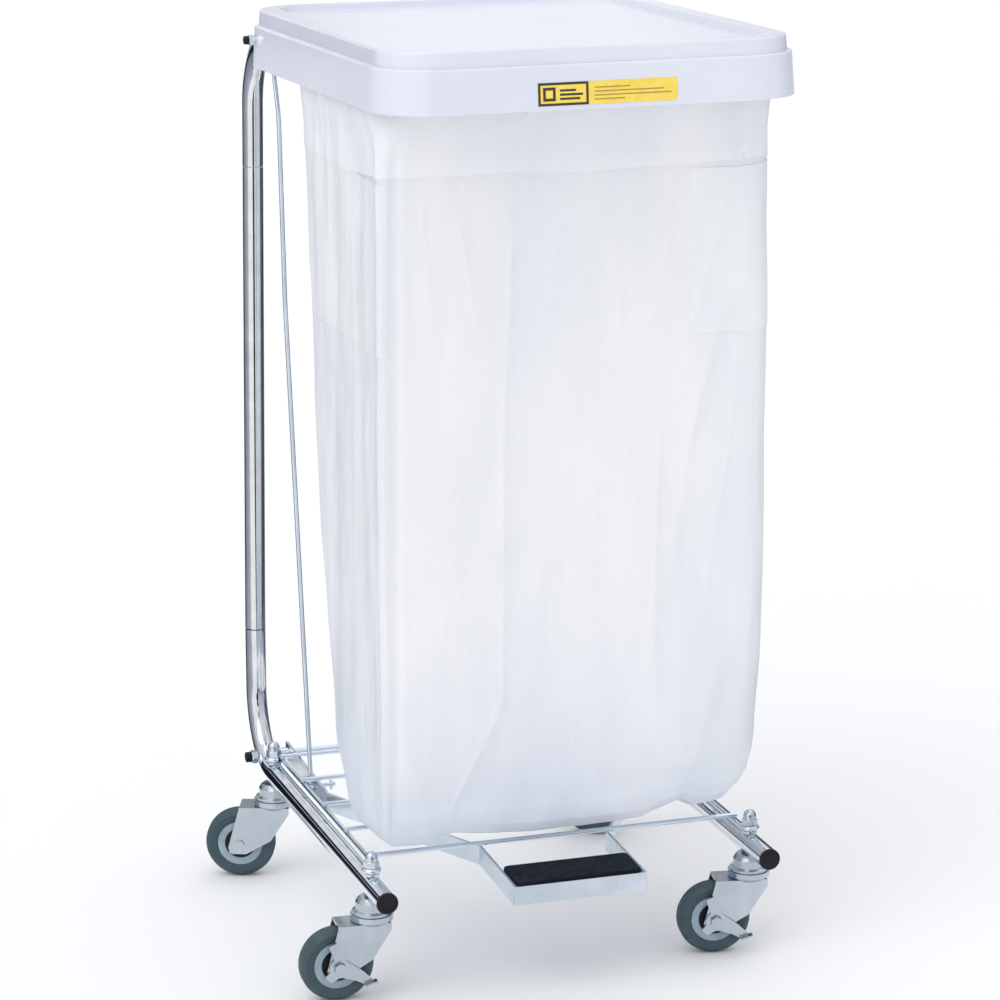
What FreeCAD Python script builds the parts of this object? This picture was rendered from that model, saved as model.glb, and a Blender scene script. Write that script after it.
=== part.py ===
import FreeCAD, Part
import math
import os
import Sketcher
from FreeCAD import Placement, Rotation, Vector

# Linen trolley: a chrome tube frame on four swivel casters carries a bag under a hinged lid.
# A foot lever at the base pulls a lift rod down, and the rod turns the lid open.
# Frame: +Z up, the front of the trolley towards -Y, the lift rod on the -X side.
# Origin: on the floor, midway between the two base tubes and midway along them.

doc = FreeCAD.newDocument("linen_trolley")
sheet = doc.addObject("Spreadsheet::Sheet", "dims")

DIMENSIONS = (
    # frame tubes
    ("tube_od", 22.2),
    ("tube_wall", 1.5),
    ("half_track", 205.0),
    ("tube_height", 117.0),
    ("front_reach", 250.0),
    ("rear_reach", 250.0),
    ("bend_radius", 80.0),
    ("low_joint", 263.0),
    ("high_joint", 779.0),
    ("top_bend_height", 844.0),
    ("lean_angle", 0.62),
    ("arm_rise", 2.0),
    ("arm_end", -150.0),
    ("bow_front", 236.0),
    ("bow_corner", 42.0),
    ("bag_bar_back", 60.0),
    ("bag_bar_od", 12.0),
    ("sleeve_length", 70.0),
    ("joint_bevel", 0.9),
    # rods across the frame
    ("hinge_back", 177.0),
    ("hinge_rod_od", 6.0),
    ("pivot_back", 210.0),
    ("pivot_rod_od", 8.0),
    # rack
    ("wire_od", 5.0),
    ("washer_thickness", 3.0),
    ("rack_pitch", 84.0),
    ("rack_wire_inset", 8.0),
    # casters
    ("front_stem", 195.0),
    ("rear_stem", 180.0),
    ("stem_od", 9.5),
    ("wheel_od", 76.2),
    ("wheel_width", 22.0),
    ("trail", 37.5),
    ("hub_od", 48.8),
    ("race_od", 44.0),
    ("leg_gap", 27.0),
    ("leg_plate", 2.5),
    ("axle_od", 7.9),
    # pedal lever
    ("lever_height", 20.0),
    ("lever_plate", 3.0),
    ("lever_rear_half", 179.0),
    ("lever_front_half", 71.0),
    ("lever_slope", 2.4),
    ("lever_tail", 10.0),
    ("lever_bend_rear", 155.0),
    ("lever_bend_front", 345.0),
    ("lever_length", 459.0),
    ("pad_depth", 48.0),
    ("pad_height", 5.0),
    # lift rod
    ("rod_od", 4.8),
    ("rod_side", 183.5),
    ("rod_foot", 105.0),
    ("crank_back", 35.0),
    ("crank_up", 8.0),
    # lid, in its own level position
    ("lid_half_width", 215.5),
    ("lid_front", 303.0),
    ("lid_back", 238.0),
    ("lid_corner", 64.0),
    ("skirt_bottom", 895.0),
    ("ledge_height", 938.0),
    ("lid_top", 954.0),
    ("ledge_width", 4.5),
    ("skirt_flare", 2.5),
    ("rim_width", 22.0),
    ("panel_depth", 5.0),
    ("lid_wall", 2.0),
    ("lid_opening", 30.0),
    # bag
    ("bag_wall", 1.6),
    ("cuff_wall", 0.8),
    ("bag_floor", 141.5),
)

for row, (alias, value) in enumerate(DIMENSIONS, start=1):
    sheet.set("A%d" % row, alias)
    sheet.set("B%d" % row, "%g" % value)
    sheet.setAlias("B%d" % row, alias)
doc.recompute()


class Dim:
    """A size that knows its value and the formula that ties it to the sheet."""

    def __init__(self, formula, value):
        self.formula = formula
        self.value = float(value)

    def join(self, sign, other, value):
        return Dim("(%s %s %s)" % (self.formula, sign, other.formula), value)

    def __add__(self, other):
        other = as_dim(other)
        return self.join("+", other, self.value + other.value)

    def __sub__(self, other):
        other = as_dim(other)
        return self.join("-", other, self.value - other.value)

    def __mul__(self, other):
        other = as_dim(other)
        return self.join("*", other, self.value * other.value)

    def __truediv__(self, other):
        other = as_dim(other)
        return self.join("/", other, self.value / other.value)

    def __neg__(self):
        return Dim("(0 - %s)" % self.formula, -self.value)


def as_dim(value):
    if isinstance(value, Dim):
        return value
    return Dim("%.9g" % value, value)


def size(alias):
    return Dim("dims.%s" % alias, sheet.get(alias))


def bind(feature, prop, dim):
    feature.setExpression(prop, as_dim(dim).formula)


# ---------------------------------------------------------------- sketch helpers

def new_body(label, placement=None):
    body = doc.addObject("PartDesign::Body", label)
    body.Label = label
    if placement is not None:
        body.Placement = placement
    return body


def new_sketch(body, role, offset=None):
    """A sketch on one of the body's own origin planes, moved along its normal."""
    sketch = body.newObject("Sketcher::SketchObject", "sketch")
    plane = [f for f in body.Origin.OriginFeatures if f.Role == role][0]
    sketch.AttachmentSupport = [(plane, "")]
    sketch.MapMode = "FlatFace"
    if offset is not None:
        bind(sketch, "AttachmentOffset.Base.z", offset)
    return sketch


def hold_point(sketch, geo, pos, x, y):
    """Fix one sketch point at x, y from the sketch's origin."""
    for kind, axis, dim in (("DistanceX", -2, as_dim(x)), ("DistanceY", -1, as_dim(y))):
        if abs(dim.value) < 1e-9:
            sketch.addConstraint(Sketcher.Constraint("PointOnObject", geo, pos, axis))
        else:
            index = sketch.addConstraint(Sketcher.Constraint(kind, -1, 1, geo, pos, dim.value))
            sketch.setExpression("Constraints[%d]" % index, dim.formula)


def add_circle(sketch, x, y, radius):
    x, y, radius = as_dim(x), as_dim(y), as_dim(radius)
    circle = Part.Circle(Vector(x.value, y.value, 0), Vector(0, 0, 1), radius.value)
    geo = sketch.addGeometry(circle, False)
    hold_point(sketch, geo, 3, x, y)
    index = sketch.addConstraint(Sketcher.Constraint("Radius", geo, radius.value))
    sketch.setExpression("Constraints[%d]" % index, radius.formula)


def add_outline(sketch, corners):
    """A closed outline of straight lines, each corner held at its sizes."""
    points = [(as_dim(x), as_dim(y)) for x, y in corners]
    lines = []
    for (ax, ay), (bx, by) in zip(points, points[1:] + points[:1]):
        line = Part.LineSegment(Vector(ax.value, ay.value, 0), Vector(bx.value, by.value, 0))
        lines.append(sketch.addGeometry(line, False))
    for first, second in zip(lines, lines[1:] + lines[:1]):
        sketch.addConstraint(Sketcher.Constraint("Coincident", first, 2, second, 1))
    for line, (x, y) in zip(lines, points):
        hold_point(sketch, line, 1, x, y)


def add_path(sketch, points, radius):
    """An open path: straight runs joined by arcs of one radius at every inner corner."""
    radius = as_dim(radius)
    knots = [Vector(as_dim(x).value, as_dim(y).value, 0) for x, y in points]
    lines = []
    for start, end in zip(knots, knots[1:]):
        lines.append(sketch.addGeometry(Part.LineSegment(start, end), False))
    for first, second in zip(lines, lines[1:]):
        sketch.addConstraint(Sketcher.Constraint("Coincident", first, 2, second, 1))
    for line, (x, y) in zip(lines, points):
        hold_point(sketch, line, 1, x, y)
    hold_point(sketch, lines[-1], 2, *points[-1])
    for index in range(len(lines) - 1):
        near = (knots[index] + knots[index + 1]) * 0.5
        far = (knots[index + 1] + knots[index + 2]) * 0.5
        sketch.fillet(lines[index], lines[index + 1], near, far, radius.value, True, True)
    for index, constraint in enumerate(sketch.Constraints):
        if constraint.Type == "Radius":
            sketch.setExpression("Constraints[%d]" % index, radius.formula)


# ---------------------------------------------------------------- feature helpers

def pad(body, sketch, length, symmetric=False, reverse=False):
    feature = body.newObject("PartDesign::Pad", "pad")
    feature.Profile = sketch
    bind(feature, "Length", length)
    if symmetric:
        feature.SideType = "Symmetric"
    feature.Reversed = reverse
    return feature


def pocket_through(body, sketch):
    feature = body.newObject("PartDesign::Pocket", "pocket")
    feature.Profile = sketch
    feature.Type = "ThroughAll"
    feature.SideType = "Symmetric"
    return feature


def pipe(body, profile, spine):
    feature = body.newObject("PartDesign::AdditivePipe", "pipe")
    feature.Profile = profile
    feature.Spine = (spine, [])
    return feature


def revolve(body, sketch, axis):
    feature = body.newObject("PartDesign::Revolution", "turned")
    feature.Profile = sketch
    feature.ReferenceAxis = (sketch, [axis])
    feature.Angle = 360
    return feature


def edges_where(shape, test):
    names = []
    for index, edge in enumerate(shape.Edges, start=1):
        if test(edge):
            names.append("Edge%d" % index)
    return names


def is_line_along(direction):
    def test(edge):
        if edge.Curve.TypeId != "Part::GeomLine":
            return False
        run = edge.Vertexes[-1].Point - edge.Vertexes[0].Point
        return abs(run.normalize().dot(direction)) > 0.999
    return test


def fillet(body, base, test, radius):
    """Round the edges of the base feature that pass the test."""
    doc.recompute()
    feature = body.newObject("PartDesign::Fillet", "fillet")
    feature.Base = (base, edges_where(base.Shape, test))
    bind(feature, "Radius", radius)


def chamfer(body, base, test, length):
    """Bevel the edges of the base feature that pass the test."""
    doc.recompute()
    feature = body.newObject("PartDesign::Chamfer", "chamfer")
    feature.Base = (base, edges_where(base.Shape, test))
    bind(feature, "Size", length)


def cylinder(label, diameter, length, start, direction):
    """A round bar of Part::Cylinder, from its start point along its direction."""
    bar = doc.addObject("Part::Cylinder", label)
    bind(bar, "Radius", as_dim(diameter) / 2)
    bind(bar, "Height", length)
    bar.Placement = Placement(start, Rotation(Vector(0, 0, 1), direction))
    return bar


def feature_from(label, shape, placement=None):
    feature = doc.addObject("Part::Feature", label)
    feature.Shape = shape
    if placement is not None:
        feature.Placement = placement
    return feature


def gather(label, members):
    """Separate solids kept together as one piece of hardware."""
    doc.recompute()
    shapes = [member.Shape for member in members]
    return feature_from(label, Part.makeCompound(shapes))


# ---------------------------------------------------------------- sizes used in many places

TUBE = size("tube_od")
BORE = size("tube_od") - size("tube_wall") * 2
TRACK = size("half_track").value
TUBE_Z = size("tube_height").value
BEND = size("bend_radius").value
LEAN = size("lean_angle").value
LOW_JOINT = size("low_joint").value
ARM_HALF = TRACK - (size("top_bend_height").value + BEND - LOW_JOINT) * math.tan(math.radians(LEAN))
BEND_Y = size("rear_reach").value - BEND
HINGE_Y = size("hinge_back").value
HINGE_Z = size("top_bend_height").value + math.sqrt(BEND ** 2 - (HINGE_Y - BEND_Y) ** 2)
PIVOT_Y = size("pivot_back").value
PIVOT_Z = TUBE_Z + BEND - math.sqrt(BEND ** 2 - (PIVOT_Y - BEND_Y) ** 2)
ARM_RISE = size("arm_rise").value
WASHER_Z = TUBE_Z + size("tube_od").value / 2 + 0.1
SIDE_WIRE_Z = WASHER_Z + size("washer_thickness").value + size("wire_od").value / 2
STEM_TOP = SIDE_WIRE_Z + size("wire_od").value / 2
GAP = 0.3
SIDES = (("left", -1), ("right", 1))

pieces = []


# ---------------------------------------------------------------- frame tubes

def tube_section(sketch, x, y):
    add_circle(sketch, x, y, TUBE / 2)
    add_circle(sketch, x, y, BORE / 2)


def base_tube(name, side):
    """Straight along the floor line, then bent up at the rear, with holes for stems and pivot rod."""
    body = new_body("base_tube_%s" % name, Placement(Vector(side * TRACK, 0, 0), Rotation()))
    spine = new_sketch(body, "YZ_Plane")
    corners = [
        (-size("front_reach"), size("tube_height")),
        (size("rear_reach"), size("tube_height")),
        (size("rear_reach"), size("low_joint")),
    ]
    add_path(spine, corners, size("bend_radius"))
    profile = new_sketch(body, "XZ_Plane", size("front_reach"))
    tube_section(profile, 0, size("tube_height"))
    pipe(body, profile, spine)
    stems = new_sketch(body, "XY_Plane")
    add_circle(stems, 0, -size("front_stem"), size("stem_od") / 2 + GAP)
    add_circle(stems, 0, size("rear_stem"), size("stem_od") / 2 + GAP)
    stem_holes = body.newObject("PartDesign::Pocket", "stem_holes")
    stem_holes.Profile = stems
    stem_holes.Reversed = True
    bind(stem_holes, "Length", size("tube_height") + TUBE)
    pivot = new_sketch(body, "YZ_Plane")
    add_circle(pivot, size("pivot_back"), PIVOT_Z, size("pivot_rod_od") / 2 + 0.1)
    pocket_through(body, pivot)
    pieces.append(body)


def lean_placement(side):
    """The uprights lean in a little from the low joint, each in its own plane."""
    turn = Rotation(Vector(0, 1, 0), -side * LEAN)
    return Placement(Vector(side * TRACK, 0, LOW_JOINT), turn)


def is_tube_rim(edge):
    return edge.Curve.TypeId == "Part::GeomCircle" and abs(edge.Curve.Radius - TUBE.value / 2) < 0.001


def mid_tube(name, side):
    """Straight tube of the upright; its bevelled ends show as a groove at each joint."""
    body = new_body("mid_tube_%s" % name, lean_placement(side))
    ring = new_sketch(body, "XY_Plane", 0.4)
    tube_section(ring, 0, size("rear_reach"))
    straight = pad(body, ring, size("high_joint") - size("low_joint") - 0.8)
    chamfer(body, straight, is_tube_rim, size("joint_bevel"))
    pieces.append(body)


def top_tube(name, side):
    """From the high joint up, over the top bend and forward as an arm that rises a little."""
    body = new_body("top_tube_%s" % name, lean_placement(side))
    base = size("low_joint")
    crown = size("top_bend_height") + size("bend_radius") - base
    rise = Dim("tan(dims.arm_rise * 1 deg)", math.tan(math.radians(ARM_RISE)))
    spine = new_sketch(body, "YZ_Plane")
    corners = [
        (size("rear_reach"), size("high_joint") - base),
        (size("rear_reach"), crown - rise * BEND),
        (size("arm_end"), crown - rise * BEND + rise * (size("rear_reach") - size("arm_end"))),
    ]
    add_path(spine, corners, size("bend_radius"))
    profile = new_sketch(body, "XY_Plane", size("high_joint") - base)
    tube_section(profile, 0, size("rear_reach"))
    pipe(body, profile, spine)
    hinge = new_sketch(body, "YZ_Plane")
    add_circle(hinge, size("hinge_back"), HINGE_Z - LOW_JOINT, size("hinge_rod_od") / 2 + 0.25)
    pocket_through(body, hinge)
    bar_hole = new_sketch(body, "YZ_Plane")
    add_circle(bar_hole, size("bag_bar_back"), arm_height(size("bag_bar_back").value) - LOW_JOINT, 3.2)
    pocket_through(body, bar_hole)
    pieces.append(body)


def arm_height(y):
    """Height of an arm's axis at a distance back from the trolley's middle."""
    crown = size("top_bend_height").value + BEND
    slope = math.tan(math.radians(ARM_RISE))
    return crown - slope * BEND + slope * (size("rear_reach").value - y)


def joint_sleeves():
    """Plugs pressed inside the upright joints and at the front ends of the arms."""
    length = size("sleeve_length")
    sleeves = []
    for name, side in SIDES:
        lean = Vector(-side * math.sin(math.radians(LEAN)), 0, math.cos(math.radians(LEAN)))
        foot = Vector(side * TRACK, size("rear_reach").value, LOW_JOINT)
        drop = size("high_joint").value - LOW_JOINT
        for tag, along, play in (("low", 0.0, 1.4), ("high", drop, 0.4)):
            start = foot + lean * (along - length.value / 2)
            sleeves.append(cylinder("sleeve_%s_%s" % (tag, name), BORE - play, length, start, lean))
        arm = Vector(0, -math.cos(math.radians(ARM_RISE)), math.sin(math.radians(ARM_RISE)))
        tip = Vector(side * ARM_HALF, size("arm_end").value, arm_height(size("arm_end").value))
        start = tip - arm * (length.value / 2)
        sleeves.append(cylinder("sleeve_arm_%s" % name, BORE - 0.4, length * 0.8, start, arm))
    pieces.append(gather("joint_sleeves", sleeves))


def front_bow():
    """The U-shaped tube that closes the top ring at the front, in the plane of the arms."""
    tilt = Placement(
        Vector(0, size("arm_end").value, arm_height(size("arm_end").value)),
        Rotation(Vector(1, 0, 0), -ARM_RISE),
    )
    body = new_body("front_bow", tilt)
    half = as_dim(ARM_HALF)
    reach = size("bow_front") + size("arm_end")
    spine = new_sketch(body, "XY_Plane")
    add_path(spine, [(-half, -0.8), (-half, -reach), (half, -reach), (half, -0.8)], size("bow_corner"))
    profile = new_sketch(body, "XZ_Plane", 0.8)
    tube_section(profile, -half, 0)
    pipe(body, profile, spine)
    pieces.append(body)


def bag_bar():
    """The cross bar that carries the rear edge of the bag, with a screw into each arm."""
    y = size("bag_bar_back").value
    half = ARM_HALF - size("tube_od").value / 2 - 0.3
    bar = cylinder(
        "rear_bag_bar", size("bag_bar_od"), 2 * half, Vector(-half, y, arm_height(y)), Vector(1, 0, 0)
    )
    pieces.append(bar)
    screws = []
    for name, side in SIDES:
        outer = Vector(side * (ARM_HALF + size("tube_od").value / 2 - 0.3), y, arm_height(y))
        shank = size("tube_od") - 0.4
        screws.append(cylinder("bag_bar_screw_%s" % name, 6.0, shank, outer, Vector(-side, 0, 0)))
    pieces.append(gather("bag_bar_screws", screws))


def end_caps():
    """Round plugs that close the front ends of the base tubes."""
    caps = []
    for name, side in SIDES:
        body = new_body("end_cap_%s" % name, Placement(Vector(side * TRACK, 0, 0), Rotation()))
        face = new_sketch(body, "XZ_Plane", size("front_reach"))
        add_circle(face, 0, size("tube_height"), TUBE / 2 + 0.2)
        pad(body, face, 3.0)
        plug = new_sketch(body, "XZ_Plane", size("front_reach"))
        add_circle(plug, 0, size("tube_height"), BORE / 2 - 0.1)
        pad(body, plug, 14.0, reverse=True)
        doc.recompute()
        front = -size("front_reach").value - 3.0
        fillet(body, body.Tip, lambda e: abs(e.BoundBox.YMin - front) < 0.01, 1.8)
        caps.append(body)
    pieces.append(gather("tube_end_caps", caps))


# ---------------------------------------------------------------- rods, nuts and caps across the frame

def hex_solid(across_flats, height, bore):
    """A hexagonal nut blank, axis along Z, flats facing X."""
    radius = across_flats / math.sqrt(3)
    corners = []
    for step in range(7):
        angle = math.radians(60 * step + 30)
        corners.append(Vector(radius * math.cos(angle), radius * math.sin(angle), 0))
    blank = Part.Face(Part.makePolygon(corners)).extrude(Vector(0, 0, height))
    crown = Part.makeCone(radius * 1.02, radius * 0.86, height * 0.3, Vector(0, 0, height * 0.7))
    trunk = Part.makeCylinder(radius * 1.02, height * 0.7)
    blank = blank.common(trunk.fuse(crown))
    if bore > 0:
        blank = blank.cut(Part.makeCylinder(bore / 2, height))
    return blank


def cross_rod(label, diameter, half, y, z):
    pieces.append(cylinder(label, diameter, half * 2, Vector(-half, y, z), Vector(1, 0, 0)))


def rod_ends(prefix, thread, across, nut_height, cap_diameter, start, y, z, overhang):
    """Hex nuts on both ends of a cross rod, then round plastic caps."""
    nuts = []
    caps = []
    for name, side in SIDES:
        outward = Rotation(Vector(0, 0, 1), Vector(side, 0, 0))
        spot = Placement(Vector(side * start, y, z), outward)
        nuts.append(feature_from("%s_nut_%s" % (prefix, name), hex_solid(across, nut_height, thread), spot))
        shell = Part.makeCylinder(cap_diameter / 2, overhang + 1.2)
        crest = shell.BoundBox.ZMax
        shell = shell.makeFillet(1.4, [e for e in shell.Edges if abs(e.BoundBox.ZMin - crest) < 0.01])
        shell = shell.cut(Part.makeCylinder(thread / 2, overhang))
        spot = Placement(Vector(side * (start + nut_height), y, z), outward)
        caps.append(feature_from("%s_cap_%s" % (prefix, name), shell, spot))
    pieces.append(gather("%s_nuts" % prefix, nuts))
    pieces.append(gather("%s_caps" % prefix, caps))


def pivot_rod():
    start = TRACK + size("tube_od").value / 2 + 0.1
    diameter = size("pivot_rod_od")
    cross_rod("pivot_rod", diameter, start + 6.5 + 5.0, PIVOT_Y, PIVOT_Z)
    rod_ends("pivot_rod", diameter.value, 13.0, 6.5, 11.5, start, PIVOT_Y, PIVOT_Z, 5.0)
    spacers = []
    outer_face = size("lever_rear_half").value + size("lever_plate").value / 2 + 0.3
    length = TRACK - size("tube_od").value / 2 - 0.3 - outer_face
    for name, side in SIDES:
        spacer = Part.makeCylinder(6.5, length).cut(Part.makeCylinder(4.0, length))
        outward = Rotation(Vector(0, 0, 1), Vector(side, 0, 0))
        spot = Placement(Vector(side * outer_face, PIVOT_Y, PIVOT_Z), outward)
        spacers.append(feature_from("pivot_spacer_%s" % name, spacer, spot))
    pieces.append(gather("pivot_spacers", spacers))


def hinge_rod():
    start = size("lid_half_width").value + 0.6
    diameter = size("hinge_rod_od")
    cross_rod("lid_hinge_rod", diameter, start + 5.0 + 4.0, HINGE_Y, HINGE_Z)
    rod_ends("hinge_rod", diameter.value, 10.0, 5.0, 9.0, start, HINGE_Y, HINGE_Z, 4.0)


# ---------------------------------------------------------------- rack

def eyelet_wire():
    """The rack's right side wire: one rod, its ends curled about the two caster stems."""
    wire_radius = size("wire_od").value / 2
    loop = size("stem_od").value / 2 + 0.4 + wire_radius
    curl = 285.0

    def about(y, angle):
        turn = math.radians(angle)
        return Vector(TRACK + loop * math.cos(turn), y + loop * math.sin(turn), SIDE_WIRE_Z)

    front = -size("front_stem").value
    rear = size("rear_stem").value
    path = Part.Wire([
        Part.Arc(about(front, 180 + curl), about(front, 180 + curl / 2), about(front, 180)).toShape(),
        Part.makeLine(about(front, 180), about(rear, 180)),
        Part.Arc(about(rear, 180), about(rear, 180 - curl / 2), about(rear, 180 - curl)).toShape(),
    ])
    start = math.radians(180 + curl)
    heading = Vector(math.sin(start), -math.cos(start), 0)
    ring = Part.Wire(Part.makeCircle(wire_radius, about(front, 180 + curl), heading))
    return path.makePipeShell([ring], True, False)


def rack():
    right = eyelet_wire()
    left = right.mirror(Vector(0, 0, 0), Vector(1, 0, 0))
    sides = [feature_from("rack_side_left", left), feature_from("rack_side_right", right)]
    pieces.append(gather("rack_side_wires", sides))
    half = TRACK - size("rack_wire_inset").value + 4.0
    z = SIDE_WIRE_Z + size("wire_od").value
    wires = []
    for step in range(-2, 3):
        start = Vector(-half, step * size("rack_pitch").value, z)
        wires.append(cylinder("rack_wire_%d" % (step + 3), size("wire_od"), 2 * half, start, Vector(1, 0, 0)))
    pieces.append(gather("rack_cross_wires", wires))


# ---------------------------------------------------------------- casters

CASTERS = (
    # name, side, position along Y, direction the wheel trails, brake lever
    ("fl", -1, -size("front_stem").value, -3.0, True),
    ("fr", 1, -size("front_stem").value, -10.0, True),
    ("rl", -1, size("rear_stem").value, -21.0, False),
    ("rr", 1, size("rear_stem").value, -36.0, False),
)
WHEEL_R = size("wheel_od").value / 2
TRAIL = size("trail").value
LEG_INNER = size("leg_gap").value / 2
LEG_OUTER = LEG_INNER + size("leg_plate").value
RACE_Z = 88.0


def caster_spot(side, y, turn):
    """A caster's own frame: on the floor under its stem, wheel trailing towards -X."""
    return Placement(Vector(side * TRACK, y, 0), Rotation(Vector(0, 0, 1), turn))


def caster_stem(name, spot):
    """Upper race, hexagonal collar and threaded stem, turned in one piece."""
    body = new_body("stem_%s" % name, spot)
    profile = new_sketch(body, "XZ_Plane")
    race = size("race_od") / 2
    under_tube = size("tube_height") - TUBE / 2 - 0.1
    corners = [
        (0, RACE_Z + GAP),
        (race - 2.0, RACE_Z + GAP),
        (race - 2.0, RACE_Z + 3.0),
        (race - 5.5, RACE_Z + 4.5),
        (race - 5.5, RACE_Z + 12.5),
        (race - 7.5, RACE_Z + 16.0),
        (race - 9.5, under_tube),
        (size("stem_od") / 2, under_tube),
        (size("stem_od") / 2, STEM_TOP + 12.0),
        (0, STEM_TOP + 12.0),
    ]
    add_outline(profile, corners)
    revolve(body, profile, "V_Axis")
    pieces.append(body)


def acorn_nuts():
    """Domed nuts that clamp the rack's eyelets on the tubes, over spacing washers."""
    nuts = []
    for name, side, y, turn, brake in CASTERS:
        blank = hex_solid(14.3, 7.0, 0)
        dome = Part.makeSphere(6.6).common(Part.makeCylinder(8.0, 8.0))
        dome.translate(Vector(0, 0, 10.0))
        neck = Part.makeCylinder(6.6, 4.0, Vector(0, 0, 6.0))
        nut = blank.fuse([dome, neck]).cut(Part.makeCylinder(size("stem_od").value / 2, 12.0))
        spot = Placement(Vector(side * TRACK, y, STEM_TOP + 0.2), Rotation(Vector(0, 0, 1), 12))
        nuts.append(feature_from("acorn_nut_%s" % name, nut.removeSplitter(), spot))
        thickness = size("washer_thickness").value
        washer = Part.makeCylinder(8.5, thickness - 0.2)
        washer = washer.cut(Part.makeCylinder(size("stem_od").value / 2 + GAP, thickness))
        washer.translate(Vector(side * TRACK, y, WASHER_Z))
        bend_centre = Vector(side * TRACK, BEND_Y, TUBE_Z + BEND)
        rising = Part.makeTorus(BEND, size("tube_od").value / 2 + 0.1, bend_centre, Vector(1, 0, 0))
        nuts.append(feature_from("eyelet_washer_%s" % name, washer.cut(rising)))
    pieces.append(gather("acorn_nuts", nuts))


CROWN_Z = 81.0
CROWN_REAR = -TRAIL
CROWN_FRONT = 17.0


def yoke_leg():
    """One flat leg: wide under the race, cut away in front, square below the axle."""
    corners = [
        (CROWN_REAR, CROWN_Z),
        (CROWN_FRONT, CROWN_Z),
        (CROWN_FRONT, CROWN_Z - 7.0),
        (-3.0, WHEEL_R + 5.0),
        (-TRAIL + 7.0, WHEEL_R - 10.5),
        (-TRAIL - 10.5, WHEEL_R - 10.5),
        (-TRAIL - 12.5, WHEEL_R - 3.0),
    ]
    points = [Vector(x, 0, z) for x, z in corners]
    outline = Part.Face(Part.makePolygon(points + points[:1]))
    leg = outline.extrude(Vector(0, size("leg_plate").value, 0))
    across = is_line_along(Vector(0, 1, 0))
    low_edges = [e for e in leg.Edges if across(e) and e.BoundBox.ZMax < CROWN_Z - 8.0]
    return leg.makeFillet(3.0, low_edges)


def yoke(name, spot):
    """Pressed-steel yoke: lower race, crown plate and two legs with axle holes."""
    plate = size("leg_plate").value
    race = size("race_od").value / 2
    legs = []
    for side in (-1, 1):
        leg = yoke_leg()
        leg.translate(Vector(0, LEG_INNER if side > 0 else -LEG_OUTER, 0))
        legs.append(leg)
    corner = Vector(CROWN_REAR, -LEG_OUTER, CROWN_Z - plate)
    crown = Part.makeBox(CROWN_FRONT - CROWN_REAR, 2 * LEG_OUTER, plate, corner)
    cup_height = 4.0
    cup = Part.makeCone(race - 5.0, race, cup_height, Vector(0, 0, CROWN_Z - plate))
    rim_z = CROWN_Z - plate + cup_height
    rim = Part.makeCylinder(race, RACE_Z - rim_z, Vector(0, 0, rim_z))
    body = legs[0].fuse([legs[1], crown, cup, rim])
    axle_hole = size("axle_od").value / 2 + 0.05
    body = body.cut(Part.makeCylinder(axle_hole, 60, Vector(-TRAIL, -30, WHEEL_R), Vector(0, 1, 0)))
    pieces.append(feature_from("yoke_%s" % name, body.removeSplitter(), spot))


def axle(name, spot, brake):
    """Axle bolt with a lock nut; its head is hexagonal over a brake lever, else low and round."""
    radius = size("axle_od").value / 2
    along = Rotation(Vector(0, 0, 1), Vector(0, 1, 0))
    start = -LEG_OUTER - (2.9 if brake else 0.2)
    shank = Part.makeCylinder(radius, LEG_OUTER + 7.0 - start)
    head_height = 4.2 if brake else 1.6
    head = hex_solid(11.0, head_height, 0) if brake else Part.makeCylinder(5.4, head_height)
    head.translate(Vector(0, 0, -head_height))
    nut = hex_solid(13.0, 5.5, radius * 2)
    nut.translate(Vector(0, 0, LEG_OUTER + 0.2 - start))
    bolt = shank.fuse(head).removeSplitter()
    parts = Part.makeCompound([bolt, nut])
    local = Placement(Vector(-TRAIL, start, WHEEL_R), along)
    parts.Placement = local
    pieces.append(feature_from("axle_%s" % name, Part.makeCompound([parts]), spot))


def wheel_spot(spot):
    turn = Placement(Vector(-TRAIL, 0, WHEEL_R), Rotation(Vector(0, 0, 1), Vector(0, 1, 0)))
    return spot.multiply(turn)


def tyre(name, spot):
    """Cushion tyre: crowned tread, rounded shoulders, thinner beside the hub."""
    body = new_body("tyre_%s" % name, wheel_spot(spot))
    profile = new_sketch(body, "XZ_Plane")
    hub = size("hub_od") / 2
    half = size("wheel_width") / 2
    outer = size("wheel_od") / 2
    corners = [
        (hub, half - 1.5),
        (hub + 2.5, half - 0.6),
        (outer - 5.0, half),
        (outer - 1.2, half - 3.2),
        (outer, half - 6.5),
        (outer, -half + 6.5),
        (outer - 1.2, -half + 3.2),
        (outer - 5.0, -half),
        (hub + 2.5, -half + 0.6),
        (hub, -half + 1.5),
    ]
    add_outline(profile, corners)
    revolve(body, profile, "V_Axis")
    pieces.append(body)


def hub(name, spot):
    """Moulded wheel core: outer ring, thin web and a barrel that runs on the axle."""
    body = new_body("hub_%s" % name, wheel_spot(spot))
    profile = new_sketch(body, "XZ_Plane")
    rim = size("hub_od") / 2
    half = size("wheel_width") / 2
    bore = size("axle_od") / 2 + 0.05
    barrel = size("leg_gap") / 2 - GAP
    corners = [
        (bore, barrel),
        (bore + 4.0, barrel),
        (bore + 4.0, 3.5),
        (rim - 7.5, 3.5),
        (rim - 7.5, half - 2.0),
        (rim, half - 1.5),
        (rim, -half + 1.5),
        (rim - 7.5, -half + 2.0),
        (rim - 7.5, -3.5),
        (bore + 4.0, -3.5),
        (bore + 4.0, -barrel),
        (bore, -barrel),
    ]
    add_outline(profile, corners)
    revolve(body, profile, "V_Axis")
    pieces.append(body)


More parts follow.
